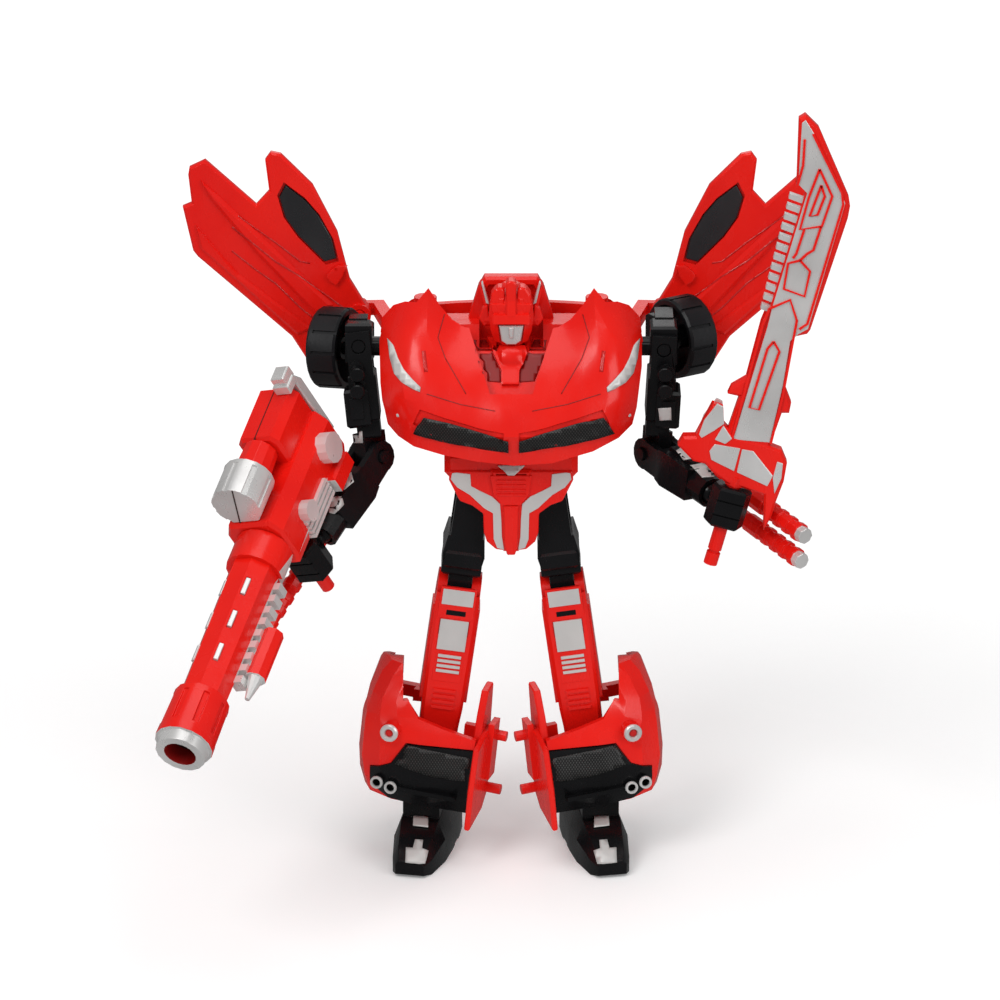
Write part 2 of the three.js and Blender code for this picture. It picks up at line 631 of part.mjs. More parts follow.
// Six-sided fist with a grip hole along Z; neck is the vector from the fist centre to the wrist ball.
function hand(neck) {
  const outline = [[-6.3, 0], [-4.2, -5], [4.2, -5], [6.3, 0], [4.2, 5], [-4.2, 5]];
  const fist = topPrism(outline, -FIST_HEIGHT / 2, FIST_HEIGHT / 2, 0.8);
  const fingers = [-2.4, 2.4].map((z) => block([-7, 7], [-5.4, -4.4], [z - 0.25, z + 0.25]));
  const stem = new THREE.CylinderGeometry(2.1, 2.1, neck.length(), 12).translate(0, neck.length() / 2, 0);
  const aim = new THREE.Quaternion().setFromUnitVectors(new THREE.Vector3(0, 1, 0), neck.clone().normalize());
  stem.applyQuaternion(aim);
  const wrist = ball(BALL_RADIUS, neck.x, neck.y, neck.z);
  const hole = rodZ(GRIP_RADIUS + GAP, 0, 0, -12, 12);
  return cut(join(fist, stem, wrist), hole, ...fingers);
}

// ---------- sword ----------
const BLADE_OUTLINE = [
  [128, -11.8], [125.2, -6.8], [116.7, 0.1], [106.9, 8.2], [104.3, 9.4], [100.5, 9.8], [64.1, 8.7], [62.6, 8.1],
  [60.9, 4.8], [46.2, 5.4], [40.5, 9.6], [37.2, 9.9], [36.6, 7.7], [25.8, 7.2], [22, 7], [20, -5], [26.6, -7],
  [38.4, -6.5], [38.3, -10.2], [41, -9.8], [45, -5.9], [56.6, -5.1], [64, -5.3], [106.7, -5], [106.2, -8.2],
  [126.3, -13.4]];
const GUARD_OUTLINE = [
  [34.1, -13.8], [33.7, -10.2], [28.9, -8.6], [26, -4], [26, 6], [25.4, 11], [22, 13.7], [16.1, 14.4],
  [8, 13.8], [4.2, 13.9], [-0.8, 12.8], [10.3, 9.6], [10.8, 2.2], [10.8, -2.2], [13.4, -8], [15.3, -10.7], [15.2, -14.5],
  [18.8, -20.5], [22, -19.7], [23, -16.1]];

function swordOutline(points) {
  return points.map(([along, across]) => [across, along * SWORD_STRETCH]);
}

function sword() {
  const half = SWORD_THICKNESS / 2;
  const blade = frontPrism(swordOutline(BLADE_OUTLINE), -half, half, 0.9);
  const guard = frontPrism(swordOutline(GUARD_OUTLINE), -half - 0.5, half + 0.5, 0.8);
  const teeth = [];
  for (let i = 0; i < 12; i += 1) {
    const along = 66 + 3.2 * i;
    const reach = -7.9 - 0.13 * i;
    teeth.push(frontPrism(swordOutline([[along, -4], [along + 1.7, -4], [along + 2.1, reach], [along + 0.5, reach]]),
      -1.3, 1.3));
  }
  const peg = rodZ(GRIP_RADIUS, 0, 0, -20 - SWORD_SEAT, 14);
  const knob = rodZ(1.5, 0, 0, -12.4, -11);
  const neckRing = rodZ(3.4, 0, 0, 7.2 - SWORD_SEAT, 14, 6);
  const groove = cut(rodZ(4, 0, 0, -12.2, -11.2), knob);
  return moved(cut(join(blade, guard, ...teeth, peg, neckRing), groove), 0, 0, SWORD_SEAT);
}

// ---------- cannon ----------
function cannonBreech() {
  const z0 = CANNON_AXIS_HEIGHT;
  const lower = [[-8.4, z0 - 8.6], [8, z0 - 8.6], [9.6, z0 - 5], [9.6, z0 + 6], [7, z0 + 10.6],
    [-8, z0 + 10.6], [-10.6, z0 + 6], [-10.6, z0 - 5]];
  const body = frontPrism(lower, -13.4, 34, 1);
  const saddle = frontPrism([[-9, z0 + 9], [6, z0 + 9], [6, z0 + 19.4], [4, z0 + 22], [-7, z0 + 22],
    [-9, z0 + 19.4]], 12, 34, 1);
  const sidePod = frontPrism([[-13.4, z0 - 3], [-9.6, z0 - 6], [-9.6, z0 + 4], [-13.4, z0 + 2.4]], 0, 26, 0.7);
  const shelf = block([6, 12.4], [17, 29], [z0 - 10.4, z0 - 3.6], 0.8);
  const knobs = [
    rodX(5, 8.6, 13, 24.5, z0 + 2.6, 12),
    rodX(3.5, 8.6, 12.8, 0.4, z0 + 0.4, 12),
  ];
  const ribs = [0, 1, 2, 3].map((i) => block([7, 10.8], [-3, 15.6], [z0 - 8.4 + 1.9 * i, z0 - 7.2 + 1.9 * i]));
  const handle = rodZ(GRIP_RADIUS, 0, 0, -14, z0 - 8);
  const handleBlock = block([-3.6, 3.6], [-4.4, 6], [7.6, z0 - 8], 0.6);
  const barrelSeat = rodY(6.4, 0, -16, -6, z0, 8);
  const scopeSeat = rodY(3.6, -1.5, 10, 18, z0 + SCOPE_HEIGHT, 12);
  return cut(join(body, saddle, sidePod, shelf, ...knobs, ...ribs, handle, handleBlock), barrelSeat, scopeSeat);
}

function cannonBarrel() {
  const z0 = CANNON_AXIS_HEIGHT;
  const tube = rodY(8, 0, -70, -9.4 - GAP, z0, 8, 7.4);
  tube.translate(0, 0, -z0);
  tube.rotateY(Math.PI / 8);
  tube.translate(0, 0, z0);
  const root = rodY(9.2, 0, -20, -9.4 - GAP, z0, 16);
  const spigot = rodY(6, 0, -12, -3, z0, 8);
  const keel = [];
  for (let i = 0; i < 9; i += 1) {
    keel.push(block([5.6, 9.6], [-62 + 4.6 * i, -59.4 + 4.6 * i], [z0 - 6.5, z0 - 2.2]));
  }
  const pod = rodY(3.3, 11.4, -58, -40, z0 - 6, 8);
  const podNeck = block([5, 11], [-56, -42], [z0 - 7.6, z0 - 4.6]);
  const bullet = rodY(2.6, 11.4, -66, -57, z0 - 6, 10, 0.8);
  const tools = [rodY(BORE_RADIUS, 0, -75, -62, z0, 20)];
  for (const x of [-1, 1]) {
    for (let i = 0; i < 3; i += 1) {
      const slot = block([-0.8, 0.8], [-34 - 13 * i, -27 - 13 * i], [6.6, 9]);
      tools.push(turned(slot, 0, x * 34, 0).translate(0, 0, z0));
    }
  }
  const barrel = cut(join(tube, root, spigot, ...keel, pod, podNeck, bullet), ...tools);
  return moved(barrel, 0, -CANNON_FORWARD, 0);
}

function cannonMuzzle() {
  const z0 = CANNON_AXIS_HEIGHT;
  const collarTube = rodY(8.8, 0, -88, -70 - GAP, z0, 16, 9.2);
  const ring = rodY(8.4, 0, -91.5, -87, z0, 16, 7.8);
  const tools = [rodY(BORE_RADIUS, 0, -95, -69, z0, 20)];
  for (let i = 0; i < 8; i += 1) {
    const flute = block([-0.9, 0.9], [-84, -72.5], [8.1, 10]);
    tools.push(turned(flute, 0, 45 * i, 0).translate(0, 0, z0));
  }
  return moved(cut(join(collarTube, ring), ...tools), 0, -CANNON_FORWARD, 0);
}

function cannonScope() {
  const z0 = CANNON_AXIS_HEIGHT + SCOPE_HEIGHT;
  const tube = rodY(3.3, 0, 10.4, 17, z0, 12);
  const barrel = rodY(5.4, 0, 0, 12 - GAP, z0, 12, 6);
  const cap = rodY(8.2, 0, -12, 1, z0 + 0.6, 16);
  const tools = [];
  for (let i = 0; i < 8; i += 1) {
    const flute = block([-0.8, 0.8], [-13, -0.4], [7.7, 9]);
    tools.push(turned(flute, 0, 45 * i, 0).translate(0, 0, z0 + 0.6));
  }
  const flat = block([-9, 9], [-14, 18], [z0 - 12, CANNON_AXIS_HEIGHT + 10.6 + GAP]);
  return moved(cut(join(tube, barrel, cap), ...tools, flat), -1.5, 0, 0);
}

function cannonRail() {
  const z0 = CANNON_AXIS_HEIGHT;
  const strip = sidePrism([[30, z0 + 22.3], [30, z0 + 25.4], [35.4, z0 + 25.4], [38, z0 + 21], [38, z0 - 2],
    [34.3, z0 - 2], [34.3, z0 + 22.3]], 0, 6, 0.4);
  const bump = block([0.6, 5.4], [31, 36.6], [z0 + 24, z0 + 28.4], 0.4);
  return join(strip, bump);
}

// ---------- legs ----------
function hipBlock(side) {
  const body = block([-5, 4.4], [-5.4, 5.4], [-5.4, 5.4], 0.8);
  const axle = rodX(3, -9.6, -4, 0, 0);
  const pin = rodY(PIN_RADIUS, 0, -7.2, 7.2, 0);
  return sided(join(body, axle, pin), side);
}

function thigh(side) {
  const cheeks = [[-9, -5.7], [5.7, 8.4]].map((y) => block([-5, 5.2], y, [-12, 4.2], 0.8));
  const body = loft([
    [[-5.4, -9, -9], [6, -9, -9], [6, 8.4, -9], [-5.4, 8.4, -9]],
    [[-6.4, -9.8, -15], [7, -9.8, -15], [7, 8.8, -15], [-6.4, 8.8, -15]],
    [[-5.8, -8.6, -19], [6.4, -8.6, -19], [6.4, 8, -19], [-5.8, 8, -19]]]);
  const kneePad = block([-5.6, 6.2], [-10.4, -3], [-19.6, -13.6], 0.9);
  const lower = block([-6, 6.6], [-8.4, 7.6], [-22.6, -17.6], 0.9);
  const tongue = join(block([-3.6, 3.6], [-5.4, 5.4], [-30, -22]), rodX(5.4, -3.6, 3.6, 0, -THIGH_LENGTH, 14));
  const pin = rodX(PIN_RADIUS, -6.2, 6.2, 0, -THIGH_LENGTH);
  const tools = [
    rodY(PIN_RADIUS + GAP, 0, -7.5, 12, 0),
    block([-8, 8], [-5.7, 5.7], [-9, 8]),
  ];
  const solid = cut(join(...cheeks, body, kneePad, lower), tools[1]);
  return sided(cut(join(solid, tongue, pin), tools[0]), side);
}

// Shin: a long box with a fork at the knee, sunk panels, a slot and four bars on its front face.
function shin(side) {
  const rings = [
    [1, 6.9, -8, 6.6], [-6, 7, -8.6, 7.4], [-38, 6.6, -8.4, 7.4], [-44, 6.2, -7.4, 7], [-61, 5.8, -6.4, 6.4]];
  const body = loft(rings.map(([z, half, front, back]) => [
    [-half, front + 1, z], [-half + 1, front, z], [half - 1, front, z], [half, front + 1, z],
    [half, back, z], [-half, back, z]]));
  const knee = rodX(6.4, -6.9, 6.9, 0, 0, 14);
  const knuckle = join(rodX(4, -2.6, 2.6, 0, 0, 16), rodX(1.8, -5.4, 5.4, 0, 0, 12));
  const anklePin = turned(knuckle, 0, LEG_SPREAD, 0).translate(0, 0, -SHIN_LENGTH);
  const ankle = block([-2.6, 2.6], [-4, 4], [-65, -58]);
  const rails = [-7.6, 6.4].map((x) => block([x, x + 1.2], [-5.6, 4], [-36, -4]));
  const tools = [
    block([-3.9, 3.9], [-12, 12], [-7, 8]),
    rodX(PIN_RADIUS + GAP, -9, 9, 0, 0),
    block([-4.8, 4.8], [-10, -8.1], [-7.4 - 5.2, -7.4]),
    block([-3.2, 3.2], [-10, -6.6], [-16.6, -14.6]),
    block([-4.4, 4.4], [-10, -8.1], [-28.4, -19.4]),
  ];
  const bars = [0, 1, 2, 3].map((i) => block([-3.6, 3.6], [-9, -8], [-32.2 - 1.9 * i, -31.2 - 1.9 * i]));
  return sided(join(cut(join(body, knee, ...rails), ...tools), ankle, anklePin, ...bars), side);
}

// The rear quarter of the car worn as a calf; built upright about the ankle, x points away from the other leg.
const QUARTER_SECTIONS = [
  [44.5, [[5.6, -2], [7, -6], [10, -8.4], [13.4, -7], [15.6, -3], [16.9, 2], [17, 8], [16.4, 13]]],
  [39, [[4.6, -8.6], [8, -12], [12.6, -12.8], [17, -10], [19.6, -4.6], [21, 2], [21.2, 9], [20.6, 14]]],
  [32, [[6.4, -14], [10, -16.2], [14.6, -16], [19, -12], [21.6, -6], [22.8, 2], [23, 9], [22.4, 15]]],
  [27.5, [[2, -16.6], [8.6, -18], [14.4, -17.6], [19.4, -13.4], [22, -7], [23.4, 2], [23.4, 9], [22.8, 15]]],
  [25.6, [[-6, -16.4], [6, -18.6], [14, -18.8], [19.6, -14.4], [22.4, -7.6], [23.6, 2], [23.6, 9], [23, 15]]],
  [23.6, [[-17.2, -16], [0, -18.6], [13, -19.8], [19.6, -15.4], [22.6, -8], [23.8, 2], [23.8, 9], [23.2, 15]]],
  [12, [[-17.2, -19.6], [0, -21.6], [12, -21.8], [19, -17.4], [22.4, -9], [23.8, 2], [23.8, 9], [23.2, 15]]],
  [5, [[-17.2, -19.2], [0, -20.8], [10, -20.6], [17.6, -16.4], [21.4, -9], [23, 2], [23, 9], [22.4, 15]]],
  [-1, [[-17.2, -16.2], [0, -17.6], [8, -17.4], [16, -13.8], [19.4, -8], [21.2, 2], [21.2, 9], [20.6, 14]]]];

function offsetPath(path, distance) {
  return path.map(([x, y], i) => {
    const [beforeX, beforeY] = path[Math.max(i - 1, 0)];
    const [afterX, afterY] = path[Math.min(i + 1, path.length - 1)];
    const length = Math.hypot(afterX - beforeX, afterY - beforeY);
    return [x - (distance * (afterY - beforeY)) / length, y + (distance * (afterX - beforeX)) / length];
  });
}

function quarterSkin(distance, wall) {
  return loft(QUARTER_SECTIONS.map(([z, path]) => {
    const outer = offsetPath(path, distance);
    const inner = offsetPath(path, distance + wall).reverse();
    return [...outer, ...inner].map(([x, y]) => [x, y, z]);
  }));
}

function bumperOutline(grow) {
  return [[-17 - grow, 20.5 + grow], [4.2 + grow, 19.6 + grow], [8 + grow, 13], [15.4 + grow, 9.6],
    [15.4 + grow, 3], [9, -0.4 - grow], [-3, -1.2 - grow], [-17 - grow, -1.2 - grow]];
}

const PIPE_PLACES = [[11.8, 6.2], [7.2, 5.2]];

function calfShell(side) {
  const skin = quarterSkin(0, 2.2);
  const roof = topPrism([[5.8, -2], [7.4, -6], [10, -8.2], [13.2, -6.8], [15.4, -3], [16.8, 2], [17, 8], [16.6, 13],
    [9, 13], [7, 4]], 38, 44.4, 1.4);
  const roofline = sidePrism([[-30, 48], [-12, 42.6], [-4, 42.2], [20, 34], [20, 60], [-30, 60]], 0, 30);
  const recess = cut(frontPrism(bumperOutline(0.3), -30, -8), quarterSkin(1.4, 6));
  const arch = rodX(WHEEL_RADIUS + 1.3, 13, 30, 6, 8, 28);
  const archFoot = block([13, 30], [6, 20], [-7, 1]);
  const pipeHoles = PIPE_PLACES.map(([x, z]) => rodY(2.2, x, -30, -12, z, 14));
  const lamp = rodY(3, 9.6, -22.4, -14, 23.4, 16);
  const brace = block([4.6, 21], [9, 12], [24, 28]);
  const rib = block([6, 10], [3, 12], [24, 28]);
  const shinSpaces = [block([-14, 8.2], [-9.8, 14], [19, 60]), block([-14, 8.2], [-30, 14], [33, 60])].map(
    (space) => turned(turned(space, 0, CALF_LEAN, 0), 0, 0, -CALF_YAW));
  const solid = cut(join(skin, roof, lamp), roofline, recess, arch, archFoot, ...pipeHoles, ...shinSpaces);
  const shinSide = turned(turned(block([-14, 7], [-9, 8.4], [10, 60]), 0, CALF_LEAN, 0), 0, 0, -CALF_YAW);
  return sided(join(solid, cut(join(brace, rib), shinSide)), side);
}

function rearBumper(side) {
  const slab = common(frontPrism(bumperOutline(0), -30, -8), quarterSkin(-0.6, 1.5));
  const splitter = block([-14, 5], [-22.8, -20.4], [4.4, 5.8]);
  const pipes = PIPE_PLACES.map(([x, z], i) => rodY(1.9, x, -23.4 + 0.4 * i, -16.6, z, 14));
  const bores = PIPE_PLACES.map(([x, z]) => rodY(1.2, x, -25, -20.6, z, 12));
  return sided(cut(join(slab, splitter, ...pipes), ...bores), side);
}

function calfInnerPlate(side) {
  const plate = sidePrism([[-20.4, -5.4], [-21.2, 8], [-19.6, 22], [-10, 25], [-3.4, 25], [-0.6, 2], [-6, -3]],
    -19.4, -17.5, 0.4);
  const tab = sidePrism([[-13, 20], [-11, 30], [-8, 38], [-2, 39], [1, 20]], -17.8, -15.4, 0.4);
  const lug = block([-21, -19], [-8, -1], [8, 27]);
  const pegs = [[21.9, 1.7], [3.5, 1.7]].map(([z, radius]) => rodX(radius, -24.2, -19, -3, z, 12));
  const web = block([-17.8, -10.4], [-4.6, -2], [15, 24]);
  return sided(join(plate, tab, lug, ...pegs, web), side);
}

function foot(side) {
  const low = -(HIP_Z - (THIGH_LENGTH + SHIN_LENGTH) * Math.cos(degrees(LEG_SPREAD)));
  const rings = [
    [-30, 4.6, low + 1, low + 5.6], [-26, 6.4, low, low + 8], [-15, 8.4, low, low + 13.4],
    [-6, 8.6, low, low + 15.6], [6, 8.4, low, low + 14], [14, 7.6, low, low + 9], [17, 6.8, low + 0.8, low + 7]];
  const body = loft(rings.map(([y, half, bottom, top]) => [
    [-half, y, bottom], [half, y, bottom], [half, y, (bottom + top) / 2 + 1], [half * 0.72, y, top],
    [-half * 0.72, y, top], [-half, y, (bottom + top) / 2 + 1]]));
  const bonnet = block([-6, 6], [-12.8, -5], [low + 11, low + 19.6], 1);
  const toes = turned(join(body, bonnet), 0, 0, TOE_OUT);
  const lugs = [[-5.8, -3.3], [3.3, 5.8]].map(([x0, x1]) => join(
    rodX(4.2, x0, x1, 0, 0, 16), block([x0, x1], [-4.2, 4.2], [low + 10, 0])));
  const tools = [
    rodX(1.8 + GAP, -9, 9, 0, 0, 12),
    block([-3.3, 3.3], [-4.6, 4.6], [low + 14.6, 6]),
    rodX(4.4, -3.3, 3.3, 0, 0, 16),
    block([-9, 9], [-3, 3], [low - 1, low + 0.6]),
  ];
  return sided(cut(join(toes, ...lugs), ...tools), side);
}

// ---------- assembly ----------
function addTorso(parent) {
  parent.add(piece('chest_frame', chestFrame(), 'red'));
  parent.add(piece('hood_shell', hoodShell(), 'red'));
  parent.add(piece('chest_collar', collar(), 'red'));
  parent.add(piece('waist_cover', waistCover(), 'red'));
  parent.add(piece('canopy_panel', canopy(), 'red'));
  parent.add(piece('back_shell', backShell(), 'red'));
  parent.add(piece('head_helmet', head(), 'red'));
  parent.add(piece('face_plate', facePlate(), 'silver'));
  for (const side of [-1, 1]) {
    parent.add(piece(`waist_side_${sideName(side)}`, waistSide(side), 'red'));
  }
}

function addDoor(parent, side) {
  const name = sideName(side);
  parent.add(piece(`door_link_${name}`, doorLink(side), 'red'));
  const hinge = poseGroup(parent, side * DOOR_HINGE[0], DOOR_HINGE[1], DOOR_HINGE[2]);
  hinge.add(piece(`door_${name}`, door(side), 'red'));
  hinge.add(piece(`door_glass_${name}`, doorGlass(side), 'glass'));
}

// Pose of each arm at rest, in degrees.
const ARM_POSES = {
  right: { swing: 0, lean: 3, bend: 84, twist: 32, wheelYaw: 33 },
  left: { swing: 10, lean: 6, bend: 50, twist: 45, wheelYaw: 22 },
};

function addArm(parent, side, fistAim) {
  const name = sideName(side);
  const pose = ARM_POSES[name];
  const shoulder = poseGroup(parent, side * SHOULDER_X, SHOULDER_Y, SHOULDER_Z);
  shoulder.rotation.x = -degrees(pose.swing);
  shoulder.name = `pivot_shoulder_${name}`;
  shoulder.add(piece(`shoulder_bracket_${name}`, shoulderBracket(side), 'black'));

  const carrier = poseGroup(shoulder, side * 0.7, CARRIER_Y, 0);
  carrier.rotation.z = side * degrees(pose.wheelYaw);
  carrier.name = `pivot_wheel_fold_${name}`;
  carrier.add(piece(`wheel_carrier_${name}`, wheelCarrier(side), 'black'));
  const axle = poseGroup(carrier, side * 8.9, 3.1, -4);
  axle.name = `pivot_front_wheel_${name}`;
  axle.add(piece(`front_wheel_${name}`, sided(wheel(), side), 'black'));

  const upper = poseGroup(shoulder, 0, 0, 0);
  upper.rotation.y = side * degrees(pose.lean);
  upper.name = `pivot_raise_${name}`;
  upper.add(piece(`upper_arm_${name}`, upperArm(side, pose.twist), 'black'));

  const elbowTwist = poseGroup(upper, 0, 0, -UPPER_ARM_LENGTH);
  elbowTwist.rotation.z = side * degrees(pose.twist);
  const elbow = poseGroup(elbowTwist, 0, 0, 0);
  elbow.rotation.x = -degrees(pose.bend);
  elbow.name = `pivot_elbow_${name}`;
  elbow.add(piece(`forearm_${name}`, forearm(side), 'black'));
  elbow.add(piece(`exhaust_pipes_${name}`, exhaustPipes(side), 'red'));

  const wrist = poseGroup(elbow, 0, 0, -FOREARM_LENGTH);
  wrist.name = `pivot_wrist_${name}`;
  parent.updateMatrixWorld(true);
  const holder = new THREE.Quaternion();
  elbow.getWorldQuaternion(holder);
  wrist.quaternion.copy(holder.invert().multiply(fistAim));
  const neck = new THREE.Vector3(0, 0, WRIST_OFFSET).applyQuaternion(wrist.quaternion.clone().invert());
  wrist.add(piece(`hand_${name}`, hand(neck), 'black'));
  return wrist;
}

function addLeg(parent, side) {
  const name = sideName(side);
  const hip = poseGroup(parent, side * HIP_X, HIP_Y, HIP_Z);
  hip.name = `pivot_hip_${name}`;
  hip.add(piece(`hip_block_${name}`, hipBlock(side), 'black'));
  const spread = poseGroup(hip, 0, 0, 0);
  spread.rotation.y = -side * degrees(LEG_SPREAD);
  spread.name = `pivot_spread_${name}`;
  spread.add(piece(`thigh_${name}`, thigh(side), 'black'));
  const knee = poseGroup(spread, 0, 0, -THIGH_LENGTH);
  knee.name = `pivot_knee_${name}`;
  knee.add(piece(`shin_${name}`, shin(side), 'red'));
  const ankle = poseGroup(knee, 0, 0, -SHIN_LENGTH);
  ankle.rotation.y = side * degrees(LEG_SPREAD);
  const calf = poseGroup(ankle, 0, 0, 0);
  calf.rotation.set(0, -side * degrees(CALF_LEAN), side * degrees(CALF_YAW));
  calf.add(piece(`calf_shell_${name}`, calfShell(side), 'red'));
  calf.add(piece(`calf_inner_plate_${name}`, calfInnerPlate(side), 'red'));
  calf.add(piece(`rear_bumper_${name}`, rearBumper(side), 'black'));
  const axle = poseGroup(calf, side * 16.4, 6, 8);
  axle.name = `pivot_rear_wheel_${name}`;
  axle.add(piece(`rear_wheel_${name}`, sided(wheel(), side), 'black'));
  const toes = poseGroup(ankle, 0, 0, 0);
  toes.name = `pivot_ankle_${name}`;
  toes.add(piece(`foot_${name}`, foot(side), 'black'));
}

// The sword stands in a vertical plane; the cannon points forward, outward and down.
const swordAim = new THREE.Quaternion().setFromEuler(new THREE.Euler(0, degrees(15.1), 0));
const muzzleWay = new THREE.Vector3(-0.289, -0.814, -0.505).normalize();
const cannonUp = new THREE.Vector3(-0.43, -0.36, 0.83);
cannonUp.addScaledVector(muzzleWay, -cannonUp.dot(muzzleWay)).normalize();
const cannonSide = new THREE.Vector3().crossVectors(cannonUp, muzzleWay);
const cannonAim = new THREE.Quaternion().setFromRotationMatrix(
  new THREE.Matrix4().makeBasis(cannonSide, muzzleWay.clone().negate(), cannonUp));

const figure = new THREE.Group();
addTorso(figure);
for (const side of [-1, 1]) {
  addDoor(figure, side);
  addLeg(figure, side);
}
const swordHand = addArm(figure, 1, swordAim);
swordHand.add(piece('sword', sword(), 'red'));
const cannonHand = addArm(figure, -1, cannonAim);
cannonHand.add(piece('cannon_breech', cannonBreech(), 'red'));
cannonHand.add(piece('cannon_barrel', cannonBarrel(), 'red'));
cannonHand.add(piece('cannon_muzzle', cannonMuzzle(), 'red'));
cannonHand.add(piece('cannon_scope', cannonScope(), 'silver'));
cannonHand.add(piece('cannon_rail', cannonRail(), 'silver'));

// Origin at the middle of the footprint, soles on the floor.
const box = new THREE.Box3().setFromObject(figure, true);
const middle = box.getCenter(new THREE.Vector3());
figure.position.set(-middle.x, -middle.y, -box.min.z);

const group = new THREE.Group();
group.add(figure);
export default group;
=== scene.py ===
import json
import math

import bmesh
import bpy
from mathutils import Matrix, Vector
from mathutils.bvhtree import BVHTree
from mathutils.geometry import delaunay_2d_cdt

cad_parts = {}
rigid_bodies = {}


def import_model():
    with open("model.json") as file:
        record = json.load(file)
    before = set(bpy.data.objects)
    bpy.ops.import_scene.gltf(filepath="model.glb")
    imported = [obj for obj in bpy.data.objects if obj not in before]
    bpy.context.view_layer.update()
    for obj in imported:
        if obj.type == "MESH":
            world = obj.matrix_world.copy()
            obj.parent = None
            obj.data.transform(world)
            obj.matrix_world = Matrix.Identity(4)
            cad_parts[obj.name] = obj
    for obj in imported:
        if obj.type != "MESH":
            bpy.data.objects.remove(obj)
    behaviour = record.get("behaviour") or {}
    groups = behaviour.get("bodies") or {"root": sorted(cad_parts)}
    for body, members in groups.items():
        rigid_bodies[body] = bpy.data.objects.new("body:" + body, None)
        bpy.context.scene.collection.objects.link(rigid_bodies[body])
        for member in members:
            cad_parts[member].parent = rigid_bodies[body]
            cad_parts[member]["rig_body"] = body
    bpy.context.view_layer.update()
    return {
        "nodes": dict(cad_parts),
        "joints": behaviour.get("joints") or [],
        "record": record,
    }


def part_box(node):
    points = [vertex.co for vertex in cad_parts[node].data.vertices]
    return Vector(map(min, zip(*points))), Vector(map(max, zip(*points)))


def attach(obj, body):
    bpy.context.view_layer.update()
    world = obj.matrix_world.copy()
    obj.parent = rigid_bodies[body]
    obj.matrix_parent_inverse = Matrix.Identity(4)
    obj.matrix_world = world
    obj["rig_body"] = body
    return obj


MM = 0.001
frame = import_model()

# ---------- the robot's own frame ----------
# Every measure below is in millimetres in the robot's own frame:
# x across, -y to the front, z up from the floor. Its origin is under the middle of the body.
CHEST_BACK = 15
chest_low, chest_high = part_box("chest_frame")
MIDDLE = Vector(((chest_low.x + chest_high.x) / 2, chest_high.y - CHEST_BACK * MM, 0))
HOME = Matrix.Translation(MIDDLE) @ Matrix.Scale(MM, 4)
SIDES = ((-1, "left"), (1, "right"))


# ---------- materials ----------
def new_material(name):
    material = bpy.data.materials.new(name)
    material.use_nodes = True
    tree = material.node_tree
    return material, tree, tree.nodes["Principled BSDF"]


def noise(tree, scale, detail=4.0, stretch=(1, 1, 1)):
    place = tree.nodes.new("ShaderNodeTexCoord")
    mapping = tree.nodes.new("ShaderNodeMapping")
    mapping.inputs["Scale"].default_value = stretch
    texture = tree.nodes.new("ShaderNodeTexNoise")
    texture.inputs["Scale"].default_value = scale
    texture.inputs["Detail"].default_value = detail
    tree.links.new(place.outputs["Object"], mapping.inputs["Vector"])
    tree.links.new(mapping.outputs["Vector"], texture.inputs["Vector"])
    return texture.outputs["Fac"]


def ranged(tree, value, low, high, from_low=0.3, from_high=0.7):
    node = tree.nodes.new("ShaderNodeMapRange")
    node.inputs["From Min"].default_value = from_low
    node.inputs["From Max"].default_value = from_high
    node.inputs["To Min"].default_value = low
    node.inputs["To Max"].default_value = high
    tree.links.new(value, node.inputs["Value"])
    return node.outputs["Result"]


def blended(tree, factor, first, second):
    node = tree.nodes.new("ShaderNodeMix")
    node.data_type = "RGBA"
    node.inputs["A"].default_value = (*first, 1)
    node.inputs["B"].default_value = (*second, 1)
    tree.links.new(factor, node.inputs["Factor"])
    return node.outputs["Result"]


def bumped(tree, shader, height, distance, strength=1.0):
    node = tree.nodes.new("ShaderNodeBump")
    node.inputs["Distance"].default_value = distance
    node.inputs["Strength"].default_value = strength
    tree.links.new(height, node.inputs["Height"])
    tree.links.new(node.outputs["Normal"], shader.inputs["Normal"])


CLOUD_SCALE = 45
SMEAR_SCALE = 160
GRAIN_SCALE = 900
COAT_ROUGHNESS = 0.12


def plastic(name, colour, other, roughness, metallic=0.0, coat=0.0, grain=0.02 * MM, shine=0.5):
    """Moulded plastic or paint: faint clouds of two tones, smears in the gloss and a fine grain."""
    material, tree, shader = new_material(name)
    cloud = noise(tree, CLOUD_SCALE, 3)
    tree.links.new(blended(tree, ranged(tree, cloud, 0, 1), colour, other), shader.inputs["Base Color"])
    smear = noise(tree, SMEAR_SCALE, 5, (1, 1, 0.35))
    tree.links.new(ranged(tree, smear, roughness * 0.8, roughness * 1.25), shader.inputs["Roughness"])
    shader.inputs["Metallic"].default_value = metallic
    shader.inputs["Specular IOR Level"].default_value = shine
    shader.inputs["Coat Weight"].default_value = coat
    shader.inputs["Coat Roughness"].default_value = COAT_ROUGHNESS
    bumped(tree, shader, noise(tree, GRAIN_SCALE, 2), grain)
    return material


